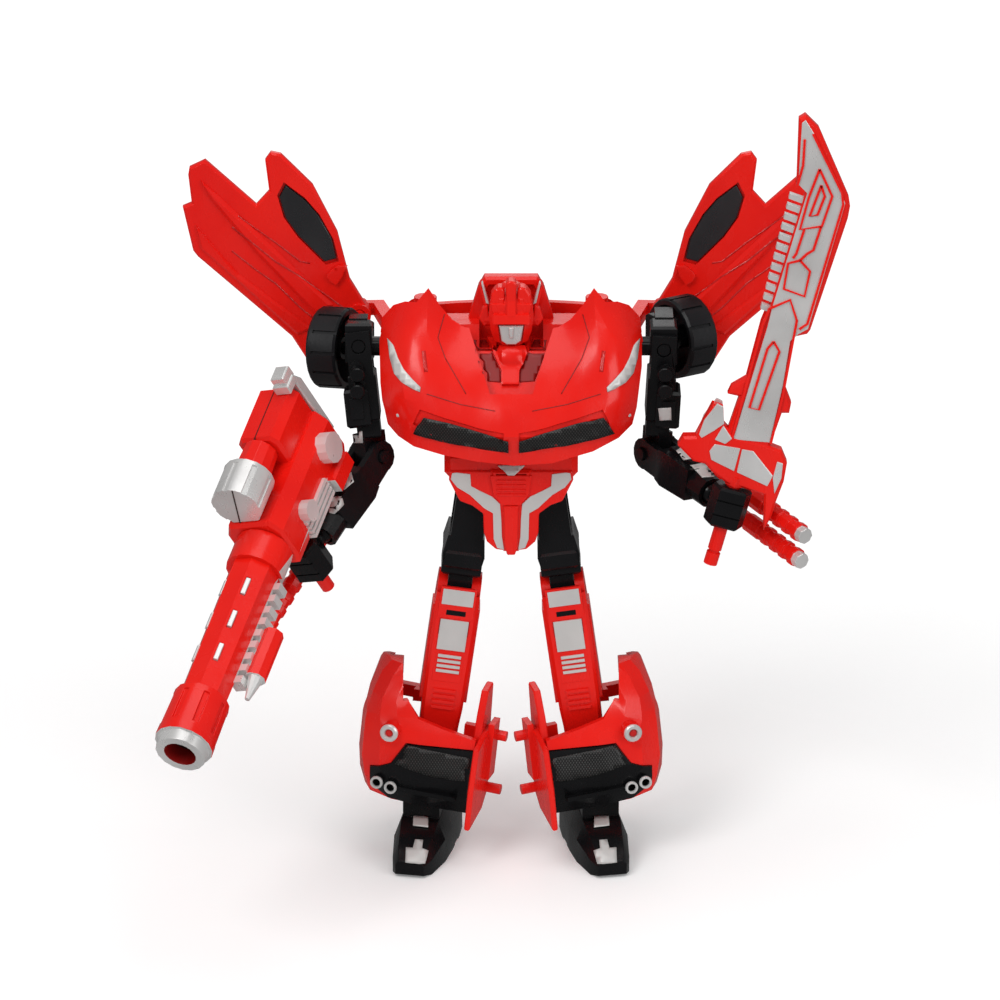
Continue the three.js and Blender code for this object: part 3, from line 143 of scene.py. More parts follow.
RED = plastic("red_gloss", (0.84, 0.012, 0.006), (0.76, 0.008, 0.005), 0.25, coat=0.15, shine=0.3)
# Deep red of the tail lamp lenses; also painted shade along the creases of the doors and in the air slots
# of the hood.
RED_DEEP = plastic("red_deep", (0.62, 0.006, 0.004), (0.5, 0.004, 0.003), 0.3, coat=0.25)
# Dark red painted in as shade: in the grooves of the hood, the pockets beside the neck and inside the
# muzzle.
RED_SHADE = plastic("red_painted_shade", (0.3, 0.004, 0.003), (0.22, 0.003, 0.002), 0.4)
# Near black for the seams of the cannon, and as painted shade deep in the muzzle's bore.
SEAM_AND_SHADE = plastic("dark_seam_and_shade", (0.02, 0.004, 0.003), (0.03, 0.006, 0.004), 0.6)
BLACK = plastic("black_gloss", (0.004, 0.004, 0.0045), (0.007, 0.007, 0.008),
                0.26, coat=0.08, shine=0.25)
TYRE = plastic("wheel_black", (0.007, 0.007, 0.008), (0.012, 0.012, 0.014),
               0.4, grain=0.04 * MM, shine=0.3)
GLASS = plastic("window_black", (0.012, 0.012, 0.014), (0.02, 0.02, 0.022), 0.3, coat=0.4)
SILVER = plastic("silver_foil", (0.66, 0.65, 0.63), (0.56, 0.55, 0.54), 0.42, metallic=0.2)
PAINT = plastic("silver_paint", (0.84, 0.83, 0.82), (0.66, 0.65, 0.64), 0.3, metallic=0.45)

SLOT_MATERIALS = {
    "red_plastic": RED,
    "black_plastic": BLACK,
    "silver_plastic": PAINT,
    "window_plastic": GLASS,
    "wheel_plastic": TYRE,
}
WEAVE_SCALE = 420
WEAVE_SLANT = 35
WEAVE_DARK = (0.004, 0.004, 0.004)
WEAVE_LIGHT = (0.045, 0.043, 0.041)


def carbon():
    """Glossy black film with a fine slanting weave."""
    material, tree, shader = new_material("carbon_weave")
    place = tree.nodes.new("ShaderNodeTexCoord")
    bands = []
    for turn in (WEAVE_SLANT, -WEAVE_SLANT):
        mapping = tree.nodes.new("ShaderNodeMapping")
        mapping.inputs["Rotation"].default_value = (0, math.radians(turn), 0)
        wave = tree.nodes.new("ShaderNodeTexWave")
        wave.inputs["Scale"].default_value = WEAVE_SCALE
        wave.inputs["Distortion"].default_value = 0.3
        tree.links.new(place.outputs["Object"], mapping.inputs["Vector"])
        tree.links.new(mapping.outputs["Vector"], wave.inputs["Vector"])
        bands.append(wave.outputs["Fac"])
    crossing = tree.nodes.new("ShaderNodeMath")
    crossing.operation = "MULTIPLY"
    tree.links.new(bands[0], crossing.inputs[0])
    tree.links.new(bands[1], crossing.inputs[1])
    thread = ranged(tree, crossing.outputs[0], 0, 1, 0.1, 0.8)
    tree.links.new(blended(tree, thread, WEAVE_DARK, WEAVE_LIGHT), shader.inputs["Base Color"])
    shader.inputs["Roughness"].default_value = 0.38
    bumped(tree, shader, crossing.outputs[0], 0.06 * MM)
    return material


CARBON = carbon()


# ---------- the solid parts, shown as they are with softened edges ----------
EDGE_WIDTH = 0.3
EDGE_ANGLE = math.radians(28)
FLAT_ANGLE = math.radians(1)
WELD_DISTANCE = 0.004


def soften(piece):
    """Joins the triangles of each flat face and rounds the edges between faces."""
    weld = piece.modifiers.new("weld", "WELD")
    weld.merge_threshold = WELD_DISTANCE * MM
    flat = piece.modifiers.new("flat_faces", "DECIMATE")
    flat.decimate_type = "DISSOLVE"
    flat.angle_limit = FLAT_ANGLE
    flat.delimit = {"MATERIAL"}
    bevel = piece.modifiers.new("edges", "BEVEL")
    bevel.width = EDGE_WIDTH * MM
    bevel.segments = 2
    bevel.limit_method = "ANGLE"
    bevel.angle_limit = EDGE_ANGLE
    bevel.use_clamp_overlap = True
    bevel.harden_normals = True


PIVOTS = {joint["name"]: Vector(joint["pos_m"]) for joint in frame["joints"] if "pos_m" in joint}
node_slots = {entry["node"]: entry["material_slot"] for entry in frame["record"]["subparts"]}
for name, node in frame["nodes"].items():
    bpy.context.view_layer.objects.active = node
    bpy.ops.mesh.customdata_custom_splitnormals_clear()
    node.data.materials.clear()
    node.data.materials.append(SLOT_MATERIALS[node_slots[name]])
    node.data.shade_smooth()
    soften(node)


# ---------- how small pieces are made and laid on the solid parts ----------
# Their outlines are drawn on the front view of the robot, seen from 20 degrees above:
# across to the right and height along UP, both in millimetres.
LOOKING_DOWN = math.radians(20)
SIGHT = Vector((0, math.cos(LOOKING_DOWN), -math.sin(LOOKING_DOWN)))
UP = Vector((0, math.sin(LOOKING_DOWN), math.cos(LOOKING_DOWN)))
LOOKED_AT = Vector((-3.5, -9.4, 120.5))
CAMERA_DISTANCE = 1.9
EYE = LOOKED_AT - SIGHT * CAMERA_DISTANCE / MM
TO_ROBOT = HOME.inverted()
NODE_BODY = {name: node["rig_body"] for name, node in frame["nodes"].items()}
SHARP_ANGLE = math.radians(40)
LONGEST_STEPS = 4
LINE_THICKNESS = 0.06
LINE_STEP = 1.2
STUD_DEPTH = -4
ROUND_SEGMENTS = 32
AFTER_FLAT_FACES = 2
TRIM_DEPTHS = (-80, 60)
search_trees = {}


def sight_point(across, height, depth=0.0):
    """Point at that place of the front view, depth millimetres behind the plane looked at."""
    on_plane = Vector((across, 0, 0)) + UP * height + SIGHT * LOOKED_AT.dot(SIGHT)
    return on_plane + (on_plane - EYE).normalized() * depth


def search_tree(names):
    """The surface of some solid parts as a tree to be searched, in the robot's frame."""
    if names not in search_trees:
        points = []
        faces = []
        for name in names:
            mesh = frame["nodes"][name].data
            start = len(points)
            points.extend(TO_ROBOT @ vertex.co for vertex in mesh.vertices)
            faces.extend([start + index for index in face.vertices] for face in mesh.polygons)
        search_trees[names] = BVHTree.FromPolygons(points, faces)
    return search_trees[names]


def make_piece(name, points, faces, material, body, matrix=HOME):
    mesh = bpy.data.meshes.new(name)
    if matrix.determinant() < 0:
        faces = [tuple(reversed(face)) for face in faces]
    mesh.from_pydata([matrix @ Vector(point) for point in points], [], faces)
    mesh.materials.append(material)
    piece = bpy.data.objects.new(name, mesh)
    bpy.context.scene.collection.objects.link(piece)
    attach(piece, body)
    return piece


def solidify(piece, thickness, bevel):
    shell = piece.modifiers.new("thickness", "SOLIDIFY")
    shell.thickness = thickness * MM
    shell.offset = 1
    if bevel:
        edges = piece.modifiers.new("edges", "BEVEL")
        edges.width = bevel * MM
        edges.segments = 2
        edges.limit_method = "ANGLE"
        edges.angle_limit = SHARP_ANGLE


def on_side(outline, side, middle=0.0):
    """The outline itself on the left side, mirrored about the middle on the right side."""
    if side < 0:
        return outline
    return [(2 * middle - across, height) for across, height in reversed(outline)]


def split_edges(outline, step):
    """The outline with extra points, so that no edge is longer than the step."""
    points = []
    for index, start in enumerate(outline):
        end = outline[(index + 1) % len(outline)]
        count = max(1, math.ceil(math.dist(start, end) / step))
        for part in range(count):
            share = part / count
            points.append((start[0] + (end[0] - start[0]) * share, start[1] + (end[1] - start[1]) * share))
    return points


def laid_on(name, outline, names, material, thickness=0.25, step=1.6, bevel=0.0, lift=0.04):
    """A thin plate that follows the front of some solid parts, left out where there is none behind it."""
    tree = search_tree(names)
    rim = [Vector(point) for point in split_edges(outline, step)]
    edges = [(index, (index + 1) % len(rim)) for index in range(len(rim))]
    inner = []
    lowest = [min(point[axis] for point in rim) for axis in (0, 1)]
    highest = [max(point[axis] for point in rim) for axis in (0, 1)]
    across = lowest[0] + step / 2
    while across < highest[0]:
        height = lowest[1] + step / 2
        while height < highest[1]:
            inner.append(Vector((across, height)))
            height += step
        across += step
    filled = delaunay_2d_cdt(rim + inner, edges, [], 1, 0.001)
    points = []
    for spot in filled[0]:
        place, normal, _, _ = tree.ray_cast(EYE, (sight_point(spot.x, spot.y) - EYE).normalized())
        if place is None:
            points.append(None)
            continue
        outward = -normal if normal.dot(SIGHT) > 0 else normal
        points.append(place + outward * lift)
    faces = []
    for face in filled[2]:
        corners = [points[index] for index in face]
        if any(corner is None for corner in corners):
            continue
        longest = max((corners[i] - corners[i - 1]).length for i in range(3))
        if longest > LONGEST_STEPS * step:
            continue
        normal = (corners[1] - corners[0]).cross(corners[2] - corners[0])
        faces.append(tuple(face) if normal.dot(SIGHT) < 0 else tuple(reversed(face)))
    used = sorted({index for face in faces for index in face})
    place_of = {index: place for place, index in enumerate(used)}
    faces = [tuple(place_of[index] for index in face) for face in faces]
    piece = make_piece(name, [points[index] for index in used], faces, material, NODE_BODY[names[0]])
    piece.data.shade_smooth()
    solidify(piece, thickness, bevel)


def box_outline(half_width, low, high):
    return [(-half_width, low), (half_width, low), (half_width, high), (-half_width, high)]


def strip(path, width):
    """Outline of a line of constant width along a path."""
    left = []
    right = []
    for index, point in enumerate(path):
        before = Vector(path[max(index - 1, 0)])
        after = Vector(path[min(index + 1, len(path) - 1)])
        way = (after - before).normalized()
        side = Vector((-way.y, way.x)) * width / 2
        left.append(tuple(Vector(point) + side))
        right.append(tuple(Vector(point) - side))
    return left + right[::-1]


def line_on(name, path, width, names, material):
    laid_on(name, strip(path, width), names, material, LINE_THICKNESS, LINE_STEP)


def prism_faces(outline):
    """Faces of a prism whose points are the outline at the front and then the outline at the back."""
    count = len(outline)
    area = sum(
        outline[i - 1][0] * outline[i][1] - outline[i][0] * outline[i - 1][1] for i in range(count))
    faces = [tuple(range(count)), tuple(range(2 * count - 1, count - 1, -1))]
    for index in range(count):
        after = (index + 1) % count
        faces.append((index, index + count, after + count, after))
    return faces if area > 0 else [tuple(reversed(face)) for face in faces]


def edge_bevel(piece, width):
    edges = piece.modifiers.new("edges", "BEVEL")
    edges.width = width * MM
    edges.segments = 2
    edges.limit_method = "ANGLE"


def relief(name, outline, front, back, material, body, bevel=0.2):
    """An upright plate seen as that outline from the front; it runs from y = front to y = back."""
    points = []
    for across, height in outline:
        way = (sight_point(across, height) - EYE).normalized()
        points.append(EYE + way * ((front - EYE.y) / way.y))
    points += [Vector((point.x, back, point.z)) for point in points]
    piece = make_piece(name, points, prism_faces(outline), material, body)
    edge_bevel(piece, bevel)


def stud(name, at, radius, length, names, material):
    """A short round boss on the front of some solid parts, or at y = STUD_DEPTH where there is none."""
    way = (sight_point(*at) - EYE).normalized()
    place, _, _, _ = search_tree(names).ray_cast(EYE, way)
    if place is None:
        place = EYE + way * ((STUD_DEPTH - EYE.y) / way.y)
    profile = [(radius, 0.5), (radius, -length + 0.3), (radius - 0.3, -length), (0.2, -length)]
    lathe(name, profile, material, NODE_BODY[names[0]], HOME @ Matrix.Translation(place))


def local_frame(joint, turn, side=1):
    """Millimetre frame at a joint, turned with its limb and mirrored on the left side."""
    place = Matrix.Translation(PIVOTS[joint])
    return place @ turn.to_4x4() @ Matrix.Scale(MM, 4) @ Matrix.Scale(side, 4, (1, 0, 0))


def plate(name, outline, low, high, material, body, matrix, bevel=0.15):
    """A flat plate: the outline is x and z of a local frame, and it runs from y = low to y = high."""
    points = [(x, low, z) for x, z in outline] + [(x, high, z) for x, z in outline]
    piece = make_piece(name, points, prism_faces(outline), material, body, matrix)
    if bevel:
        edge_bevel(piece, bevel)


def lathe(name, profile, material, body, matrix, ring=False):
    """A round piece about the local Y axis; the profile is radius and y. A ring has no end caps."""
    points = []
    for radius, along in profile:
        for step in range(ROUND_SEGMENTS):
            angle = 2 * math.pi * step / ROUND_SEGMENTS
            points.append((radius * math.cos(angle), along, radius * math.sin(angle)))
    faces = []
    for band in range(len(profile) - 1):
        for step in range(ROUND_SEGMENTS):
            after = (step + 1) % ROUND_SEGMENTS
            first = band * ROUND_SEGMENTS
            second = first + ROUND_SEGMENTS
            faces.append((first + step, first + after, second + after, second + step))
    if not ring:
        last = (len(profile) - 1) * ROUND_SEGMENTS
        faces.append(tuple(range(ROUND_SEGMENTS - 1, -1, -1)))
        faces.append(tuple(range(last, last + ROUND_SEGMENTS)))
    piece = make_piece(name, points, faces, material, body, matrix)
    piece.data.shade_smooth()
    piece.data.set_sharp_from_angle(angle=SHARP_ANGLE)


def paint(name, material, chosen, matrix=Matrix.Identity(4)):
    """Another finish on those faces of a solid part whose place in that frame is chosen."""
    node = frame["nodes"][name]
    if material.name not in node.data.materials:
        node.data.materials.append(material)
    index = node.data.materials.find(material.name)
    to_local = matrix.inverted()
    for face in node.data.polygons:
        if chosen(to_local @ face.center):
            face.material_index = index


def trimmed(name, outline, body):
    """Cuts off what lies inside that outline of the front view, before the edges are rounded."""
    corners = [sight_point(across, height, depth) for depth in TRIM_DEPTHS for across, height in outline]
    cutter = make_piece(f"{name}_trim", corners, prism_faces(outline), SEAM_AND_SHADE, body)
    cutter.hide_render = True
    cutter.hide_viewport = True
    node = frame["nodes"][name]
    cutting = node.modifiers.new("trim", "BOOLEAN")
    cutting.object = cutter
    cutting.operation = "DIFFERENCE"
    cutting.solver = "EXACT"
    node.modifiers.move(len(node.modifiers) - 1, AFTER_FLAT_FACES)


# ---------- hood worn as the chest ----------
HOOD = ("hood_shell",)
HOOD_AND_FRAME = ("hood_shell", "chest_frame")
HOOD_MIDDLE = 0.8
HEADLIGHT = [
    (-38.8, 160.9), (-37, 158.8), (-35.5, 154.6), (-33.7, 151.1), (-31.1, 148.1), (-28.5, 145.5),
    (-28.7, 144), (-30.8, 144.9), (-34.3, 147), (-36.7, 149.9), (-38, 154.6),
]
GRILLE = [
    (-27.4, 136), (-19.2, 134.2), (-9.8, 131.4), (-0.9, 128.7), (-0.8, 125.2), (-9.8, 126.5),
    (-19.2, 128), (-25.5, 129.6), (-30.6, 131.2), (-29.3, 133.6),
]
# The grooves and the crease of the hood are drawn as thin dark red lines: painted shade in them.
HOOD_LINES = {
    "shut_line": [(-21, 168.5), (-23.1, 161.2), (-20.7, 154.6), (-14.2, 143.4)],
    "front_crease": [(-26.6, 143.4), (-16, 140.1), (-5, 138)],
}
AIR_SLOT = [(-27.6, 157), (-26.8, 150.4)]
FOG_LAMP = [(-35.6, 136.7)]
CHIN = [
    (-60, 159.8), (-41.5, 159.8), (-41.2, 146.9), (-40.4, 139.3), (-38.8, 133.9), (-35.6, 130.2),
    (-30.7, 126.9), (-21.6, 124.2), (-10.8, 122.1), (1, 120.8), (12.9, 121.6), (25.8, 125.3),
    (33.9, 129.6), (38.2, 133.9), (39.6, 139.3), (41.2, 152.2), (41.2, 159.8), (60, 159.8),
    (60, 100), (-60, 100),
]

trimmed("hood_shell", CHIN, "hood")
trimmed("chest_frame", CHIN, "torso")
for side, word in SIDES:
    laid_on(f"headlight_{word}", on_side(HEADLIGHT, side, HOOD_MIDDLE), HOOD, SILVER, 0.3)
    laid_on(f"grille_{word}", on_side(GRILLE, side, HOOD_MIDDLE), HOOD_AND_FRAME, CARBON, 0.3, lift=0.5)
    for line, path in HOOD_LINES.items():
        # painted shade along the grooves of the hood
        line_on(f"hood_{line}_{word}", on_side(path, side, HOOD_MIDDLE), 0.25, HOOD, RED_SHADE)
    # The air slot is a deeper red strip: painted shade in its recess.
    line_on(f"air_slot_{word}", on_side(AIR_SLOT, side, HOOD_MIDDLE), 1.2, HOOD, RED_DEEP)
    fog_lamp, = on_side(FOG_LAMP, side, HOOD_MIDDLE)
    stud(f"fog_lamp_{word}", fog_lamp, 0.6, 0.3, HOOD, SILVER)

# ---------- neck ----------
NECK = ("chest_collar", "chest_frame", "hood_shell")
NECK_MIDDLE = -0.3
NECK_WEDGE = [(-7.6, 160), (6.9, 160), (2.6, 150.3), (2.4, 146), (-3, 146), (-3, 150.3)]
# Beside the neck, thin dark red plates laid on the surface: painted shade of the deep pockets there.
POCKET_SHADE = [(-11.7, 160.4), (-7.9, 160.4), (-3.3, 150.4), (-3.2, 147), (-8, 147.4), (-10.9, 155)]

laid_on("neck_wedge", NECK_WEDGE, NECK, RED, 1.6, 1.2, 0.5)
# Painted shade: a dark red plate in each pocket beside the neck.
for side, word in SIDES:
    laid_on(f"neck_pocket_shade_{word}", on_side(POCKET_SHADE, side, NECK_MIDDLE), NECK, RED_SHADE, 0.12, 1.2)

# ---------- waist ----------
WAIST = ("waist_cover",)
WAIST_PLATE = [
    (-19.4, 119), (-19.6, 116.2), (-16.2, 109.6), (-12.4, 108.2), (-8.8, 105.6), (-8.6, 99.6),
    (-7.6, 96.8), (-4.8, 94.4), (0, 93.8), (4.8, 94.4), (7.6, 96.8), (8.6, 99.6), (8.8, 105.6),
    (12.4, 108.2), (16.2, 109.6), (19.6, 116.2), (19.4, 119),
]
WAIST_STICKER = [
    (-18.6, 118.4), (-17.3, 118.6), (-12.9, 118.1), (-12.6, 114.3), (-9.8, 112.8), (-6, 111),
    (-3.5, 108.7), (-3.1, 104), (-2.9, 98.3), (-2.2, 94.3), (-4.4, 94.9), (-5.5, 97.7), (-5.7, 105.8),
    (-8.5, 107.4), (-12.9, 111.5), (-17, 114), (-19, 116.5),
]
WAIST_CENTRE = [(-2.3, 108), (2.3, 108), (2.0, 95), (1.2, 92.6), (-1.2, 92.6), (-2.0, 95)]
WAIST_SHIELD = [(-6.6, 117.6), (6.6, 117.6), (5.6, 111.6), (3, 108.2), (-3, 108.2), (-5.6, 111.6)]
BADGE = [(-4.3, 121), (4.3, 121), (2.1, 118.6), (0.7, 117.7), (-0.9, 117.7), (-2.3, 119.1)]
RIB_COUNT = 4
RIB_TOP = 116.2
RIB_PITCH = 1.45
RIB_HALF_WIDTH = 4.6
RIB_HEIGHT = 0.6

relief("waist_plate", WAIST_PLATE, -14.9, -11.6, RED, "torso", 0.5)
for side, word in SIDES:
    relief(f"waist_sticker_{word}", on_side(WAIST_STICKER, side), -15.2, -14.8, SILVER, "torso", 0.08)
relief("waist_centre", WAIST_CENTRE, -16, -14, RED, "torso", 0.35)
relief("waist_shield", WAIST_SHIELD, -15.7, -14, RED, "torso", 0.3)
for index in range(RIB_COUNT):
    high = RIB_TOP - RIB_PITCH * index
    rib = box_outline(RIB_HALF_WIDTH, high - RIB_HEIGHT, high)
    relief(f"waist_rib_{index}", rib, -16.1, -15.4, RED, "torso", 0.15)
laid_on("waist_badge", BADGE, WAIST, SILVER, 0.5, 1.0)

# ---------- head ----------
# Each part of the head: body, outline, front, back, finish and how round its edges are.
HEAD_SIDE_PARTS = {
    "head_fin": ("head", [(-9.4, 178.2), (-8.9, 178.4), (-6.9, 171.6), (-7.9, 172)], -4, -1.5, PAINT, 0.15),
    "ear": (
        "head",
        [(-10.2, 167), (-9, 170.6), (-7.4, 171.4), (-6.8, 166), (-8.4, 164.6)],
        -5, -2.4, RED, 0.4,
    ),
    "helmet_lobe": (
        "head",
        [(-6.6, 171.4), (-6.2, 174.6), (-4.8, 176.6), (-2.9, 177), (-2, 176), (-2, 170.6)],
        -8.2, -3, RED, 0.8,
    ),
    "canopy_wall": (
        "canopy",
        [
            (-10.2, 177.6), (-9.4, 178.8), (-8.4, 177), (-8.6, 166), (-9.8, 158), (-12.6, 158),
            (-14.2, 164.8),
        ],
        4.8, 8.6, RED, 0.4,
    ),
}
HELMET_CREST = [
    (-1.7, 178.2), (-0.7, 178.8), (0.7, 178.8), (1.7, 178.2), (1.5, 171.2), (0, 169.8), (-1.5, 171.2),
]
BROW = [(-6.6, 171.8), (6.6, 171.8), (5.6, 167.2), (2, 165.8), (-2, 165.8), (-5.6, 167.2)]

for side, word in SIDES:
    for part, (body, outline, front, back, material, bevel) in HEAD_SIDE_PARTS.items():
        relief(f"{part}_{word}", on_side(outline, side), front, back, material, body, bevel)
relief("helmet_crest", HELMET_CREST, -9.2, -4, RED, "head", 0.6)
relief("brow", BROW, -8.8, -4, RED, "head", 0.4)

# ---------- doors ----------
# The creases of the doors are drawn as deeper red lines: painted shade along them.
DOOR_LINES = {
    "beltline": [(-86, 199.6), (-80.6, 195.6), (-74.3, 191.2), (-66.5, 185.2), (-63.3, 184.6)],
    "shoulder_line": [(-88, 196), (-80.6, 190.3), (-74.3, 185.2), (-66.5, 180.5), (-57, 173.6), (-52, 170)],
    "side_line": [(-88, 188.5), (-80.6, 182.7), (-74.3, 178.3), (-66.5, 170.7), (-62.7, 167.6)],
}
LEVER = [
    (-58, 181.1), (-56.7, 182.7), (-54.5, 184.3), (-52.3, 184), (-52.9, 181.1), (-55.1, 178),
    (-57.3, 179.6),
]

for side, word in SIDES:
    door = (f"door_{word}",)
    for line, path in DOOR_LINES.items():
        # painted shade along the creases of the door
        line_on(f"door_{line}_{word}", on_side(path, side), 0.5, door, RED_DEEP)
    laid_on(f"door_lever_{word}", on_side(LEVER, side), door, RED, 1.6, 1.0, 0.4)

# ---------- legs ----------
SHIN_LEAN = math.radians(8)
CALF_LEAN = math.radians(6)
CALF_YAW = math.radians(15)
FOOT_SQUARE = [(-30.7, 10.1), (-26.1, 10), (-26.1, 6.6), (-30.9, 7.2)]
FOOT_ARROW = [
    (-30.2, 2.8), (-27.7, 2.6), (-28, 0), (-26.3, -0.6), (-27.4, -4.7), (-33.2, -4.1), (-33.1, 0.3),
    (-30.9, 0.1),
]
WEAVE = [
    (-35.3, 33.4), (-27.1, 31.5), (-12, 28.4), (-12.2, 22.1), (-15.4, 21.3), (-24.3, 22.7), (-31.2, 24.7),
    (-39.4, 28),
]
LAMP_PLACE = (9.6, 0, 23.4)
LAMP_RING = [(2.9, -22.2), (2.9, -23.1), (2.5, -23.5), (1.6, -23.5), (1.3, -23.0), (1.3, -22.4)]
LAMP_LENS = [(1.35, -22.6), (1.1, -23), (0.4, -23.2)]
EXHAUST_PLACES = ((11.8, 0, 6.2), (7.2, 0.4, 5.2))
EXHAUST_RIM = [(2.05, -23.2), (2.05, -23.9), (1.9, -24.1), (1.4, -24.1), (1.25, -23.8), (1.25, -22.9)]
# Each plate of the shin: half width, low, high, front, back and finish.
SHIN_PLATES = {
    "cover": (5.7, -7, 3.6, -8.8, -7.6, RED),
    "panel_high": (5, -2.3, 2.9, -9.05, -8.7, SILVER),
    # The slot is a black plate set where the cover has a hole: painted shade of the hole.
    "slot": (3.1, -5.8, -4.1, -8.9, -8.7, BLACK),
    "panel_low": (4.5, -17.7, -7.4, -8.95, -8, SILVER),
    "filler": (4.6, -28.6, -19.2, -8.6, -7.9, RED),
}
BAR_COUNT = 4
BAR_LOW = -20.3
BAR_PITCH = 1.7
BAR_HALF_WIDTH = 3.7
BAR_HEIGHT = 0.95


def dress_shin(side, word):
    shin = local_frame(f"knee_{word}", Matrix.Rotation(-side * SHIN_LEAN, 3, "Y"), side)
    body = f"shin_{word}"
    for part, (half_width, low, high, front, back, material) in SHIN_PLATES.items():
        outline = box_outline(half_width, low, high)
        plate(f"shin_{part}_{word}", outline, front, back, material, body, shin, 0.12)
    for index in range(BAR_COUNT):
        low = BAR_LOW - BAR_PITCH * index
        bar = box_outline(BAR_HALF_WIDTH, low, low + BAR_HEIGHT)
        plate(f"shin_bar_{index}_{word}", bar, -9.1, -8.5, SILVER, body, shin, 0.12)


def dress_calf(side, word):
    turn = Matrix.Rotation(-side * CALF_LEAN, 3, "Y") @ Matrix.Rotation(side * CALF_YAW, 3, "Z")
    calf = local_frame(f"ankle_{word}", turn, side)
    body = f"shin_{word}"
    lamp = calf @ Matrix.Translation(LAMP_PLACE)
    lathe(f"tail_lamp_ring_{word}", LAMP_RING, PAINT, body, lamp, ring=True)
    lathe(f"tail_lamp_{word}", LAMP_LENS, RED_DEEP, body, lamp)
    for index, place in enumerate(EXHAUST_PLACES):
        exhaust = calf @ Matrix.Translation(place)
        lathe(f"exhaust_rim_{index}_{word}", EXHAUST_RIM, PAINT, body, exhaust, ring=True)
    laid_on(f"fascia_weave_{word}", on_side(WEAVE, side), (f"rear_bumper_{word}",), CARBON, 0.2)


def dress_foot(side, word):
    foot = (f"foot_{word}",)
    laid_on(f"foot_square_{word}", on_side(FOOT_SQUARE, side), foot, SILVER, 0.3, lift=0.3)
    laid_on(f"foot_arrow_{word}", on_side(FOOT_ARROW, side), foot, SILVER, 0.3, lift=0.3)


for side, word in SIDES:
    dress_shin(side, word)
    dress_calf(side, word)
    dress_foot(side, word)

# ---------- arms ----------
# Each silver panel: the part that it lies on, and its outline.
ARM_PANELS = {
    "left_0": ("upper_arm_left", [(-50.2, 131.4), (-46.9, 131.8), (-46.6, 128), (-50.4, 127.9)]),
    "left_1": (
        "forearm_left",
        [(-53.6, 118.2), (-50.2, 118.6), (-49.6, 115.8), (-52.4, 113.2), (-54.4, 113.4)],
    ),
    "left_2": (
        "forearm_left",
        [(-57, 110.8), (-53.4, 111.2), (-52.8, 108.6), (-55.6, 105.6), (-57.4, 105.9)],
    ),
    "right_0": ("upper_arm_right", [(46.3, 138.9), (50.4, 139.2), (50.5, 135.3), (46.9, 135.1)]),
    "right_1": ("forearm_right", [(52, 125.4), (53.5, 126.4), (56.4, 126.1), (58.9, 123.2), (54.5, 122.5)]),
    "right_2": ("forearm_right", [(56.4, 121), (60.5, 121.8), (64.9, 117.2), (60.2, 117)]),
}
PEG_ACROSS = 48.4
PEG_HEIGHTS = (150.2, 144.9)
PIPE_TIP = 60 * MM

for name, (limb, outline) in ARM_PANELS.items():
    laid_on(f"arm_panel_{name}", outline, (limb,), SILVER, 0.25, 1.0)
for side, word in SIDES:
    upper_arm = (f"upper_arm_{word}",)
    for index, height in enumerate(PEG_HEIGHTS):
        stud(f"arm_peg_{index}_{word}", (side * PEG_ACROSS, height), 2.3, 3.2, upper_arm, BLACK)
    elbow = PIVOTS[f"elbow_{word}"]
    way = (PIVOTS[f"wrist_{word}"] - elbow).normalized()
    paint(f"exhaust_pipes_{word}", PAINT, lambda place: (place - elbow).dot(way) > PIPE_TIP)

# ---------- sword ----------
SWORD_LEAN = math.radians(15.1)
SWORD = local_frame("wrist_right", Matrix.Rotation(SWORD_LEAN, 3, "Y"))
BLADE_SILVER = [
    (-11.4, 126.6), (-7.2, 122.6), (5.2, 107.8), (7.6, 104.2), (7.8, 62.6), (5.4, 60.2), (3.6, 57.4),
    (5.4, 43.2), (6.6, 24), (-4.6, 22), (-4.4, 60), (-4.7, 66), (-4.5, 104.4), (-7.9, 106.4),
    (-12.2, 125.4),
]
SWORD_LINES = {
    "edge": [(-8, 123), (5.7, 107.3), (7.1, 103.7), (7.1, 64.2), (5.2, 61.9)],
    "tip": [(-10, 120.7), (-8.2, 112.6), (-8.1, 105.6)],
    "slot": [(-3, 112.8), (3.1, 105.5), (2.7, 95.5), (-3.5, 92.8), (-3.7, 103.3), (-3, 112.8)],
    "slot_inner": [(-1.1, 108), (0.9, 104.9), (0.4, 98.7), (-1.8, 97.6), (-1.1, 108)],
    "step": [(2.5, 95.4), (2.3, 87.5), (0.8, 85.9), (-0.7, 83.3)],
    "step_left": [(-2.2, 93.1), (-2.4, 85.1), (-3, 83.4)],
    "hexagon": [(-0.7, 83.3), (3.2, 80.7), (3.8, 72.5), (-3, 73.2), (-4, 81.4), (-0.7, 83.3)],
    "arrow": [(-5.5, 65.9), (-0.1, 70.3), (3.7, 64.4), (6.2, 40.4), (7, 23.8)],
    "left_edge": [(-5.5, 65.9), (-6.1, 60.3), (-5, 22)],
    "low_slot": [(-1.3, 56), (1.3, 53.4), (0.4, 33.5), (-2.6, 33.4), (-2.5, 53.3), (-1.3, 56)],
}
GUARD_PLATES = {
    "horn": [
        (-12.6, 32.2), (-10.6, 31.8), (-8.7, 26.4), (-11.2, 23.3), (-14.2, 20.1), (-15.3, 21), (-15, 25.9),
    ],
    "corner": [(-10.1, 20.6), (-8.8, 25.8), (-5, 22.3), (-6.6, 20.1)],
    "left": [(-10.7, 16.6), (-9.7, 19.2), (-1.7, 19.9), (-1.5, 12.2), (-9.4, 14)],
    "middle": [(-1.1, 19.8), (2.5, 20.1), (10.5, 13.9), (9.8, 10.1), (-0.6, 12.1)],
    "right": [(10.5, 18.7), (12.4, 18.6), (13.3, 13.8), (12.6, 8.3), (10.7, 13.1)],
}
SILVER_DEPTHS = (2.1, 2.45)
LINE_DEPTHS = (2.3, 2.85)
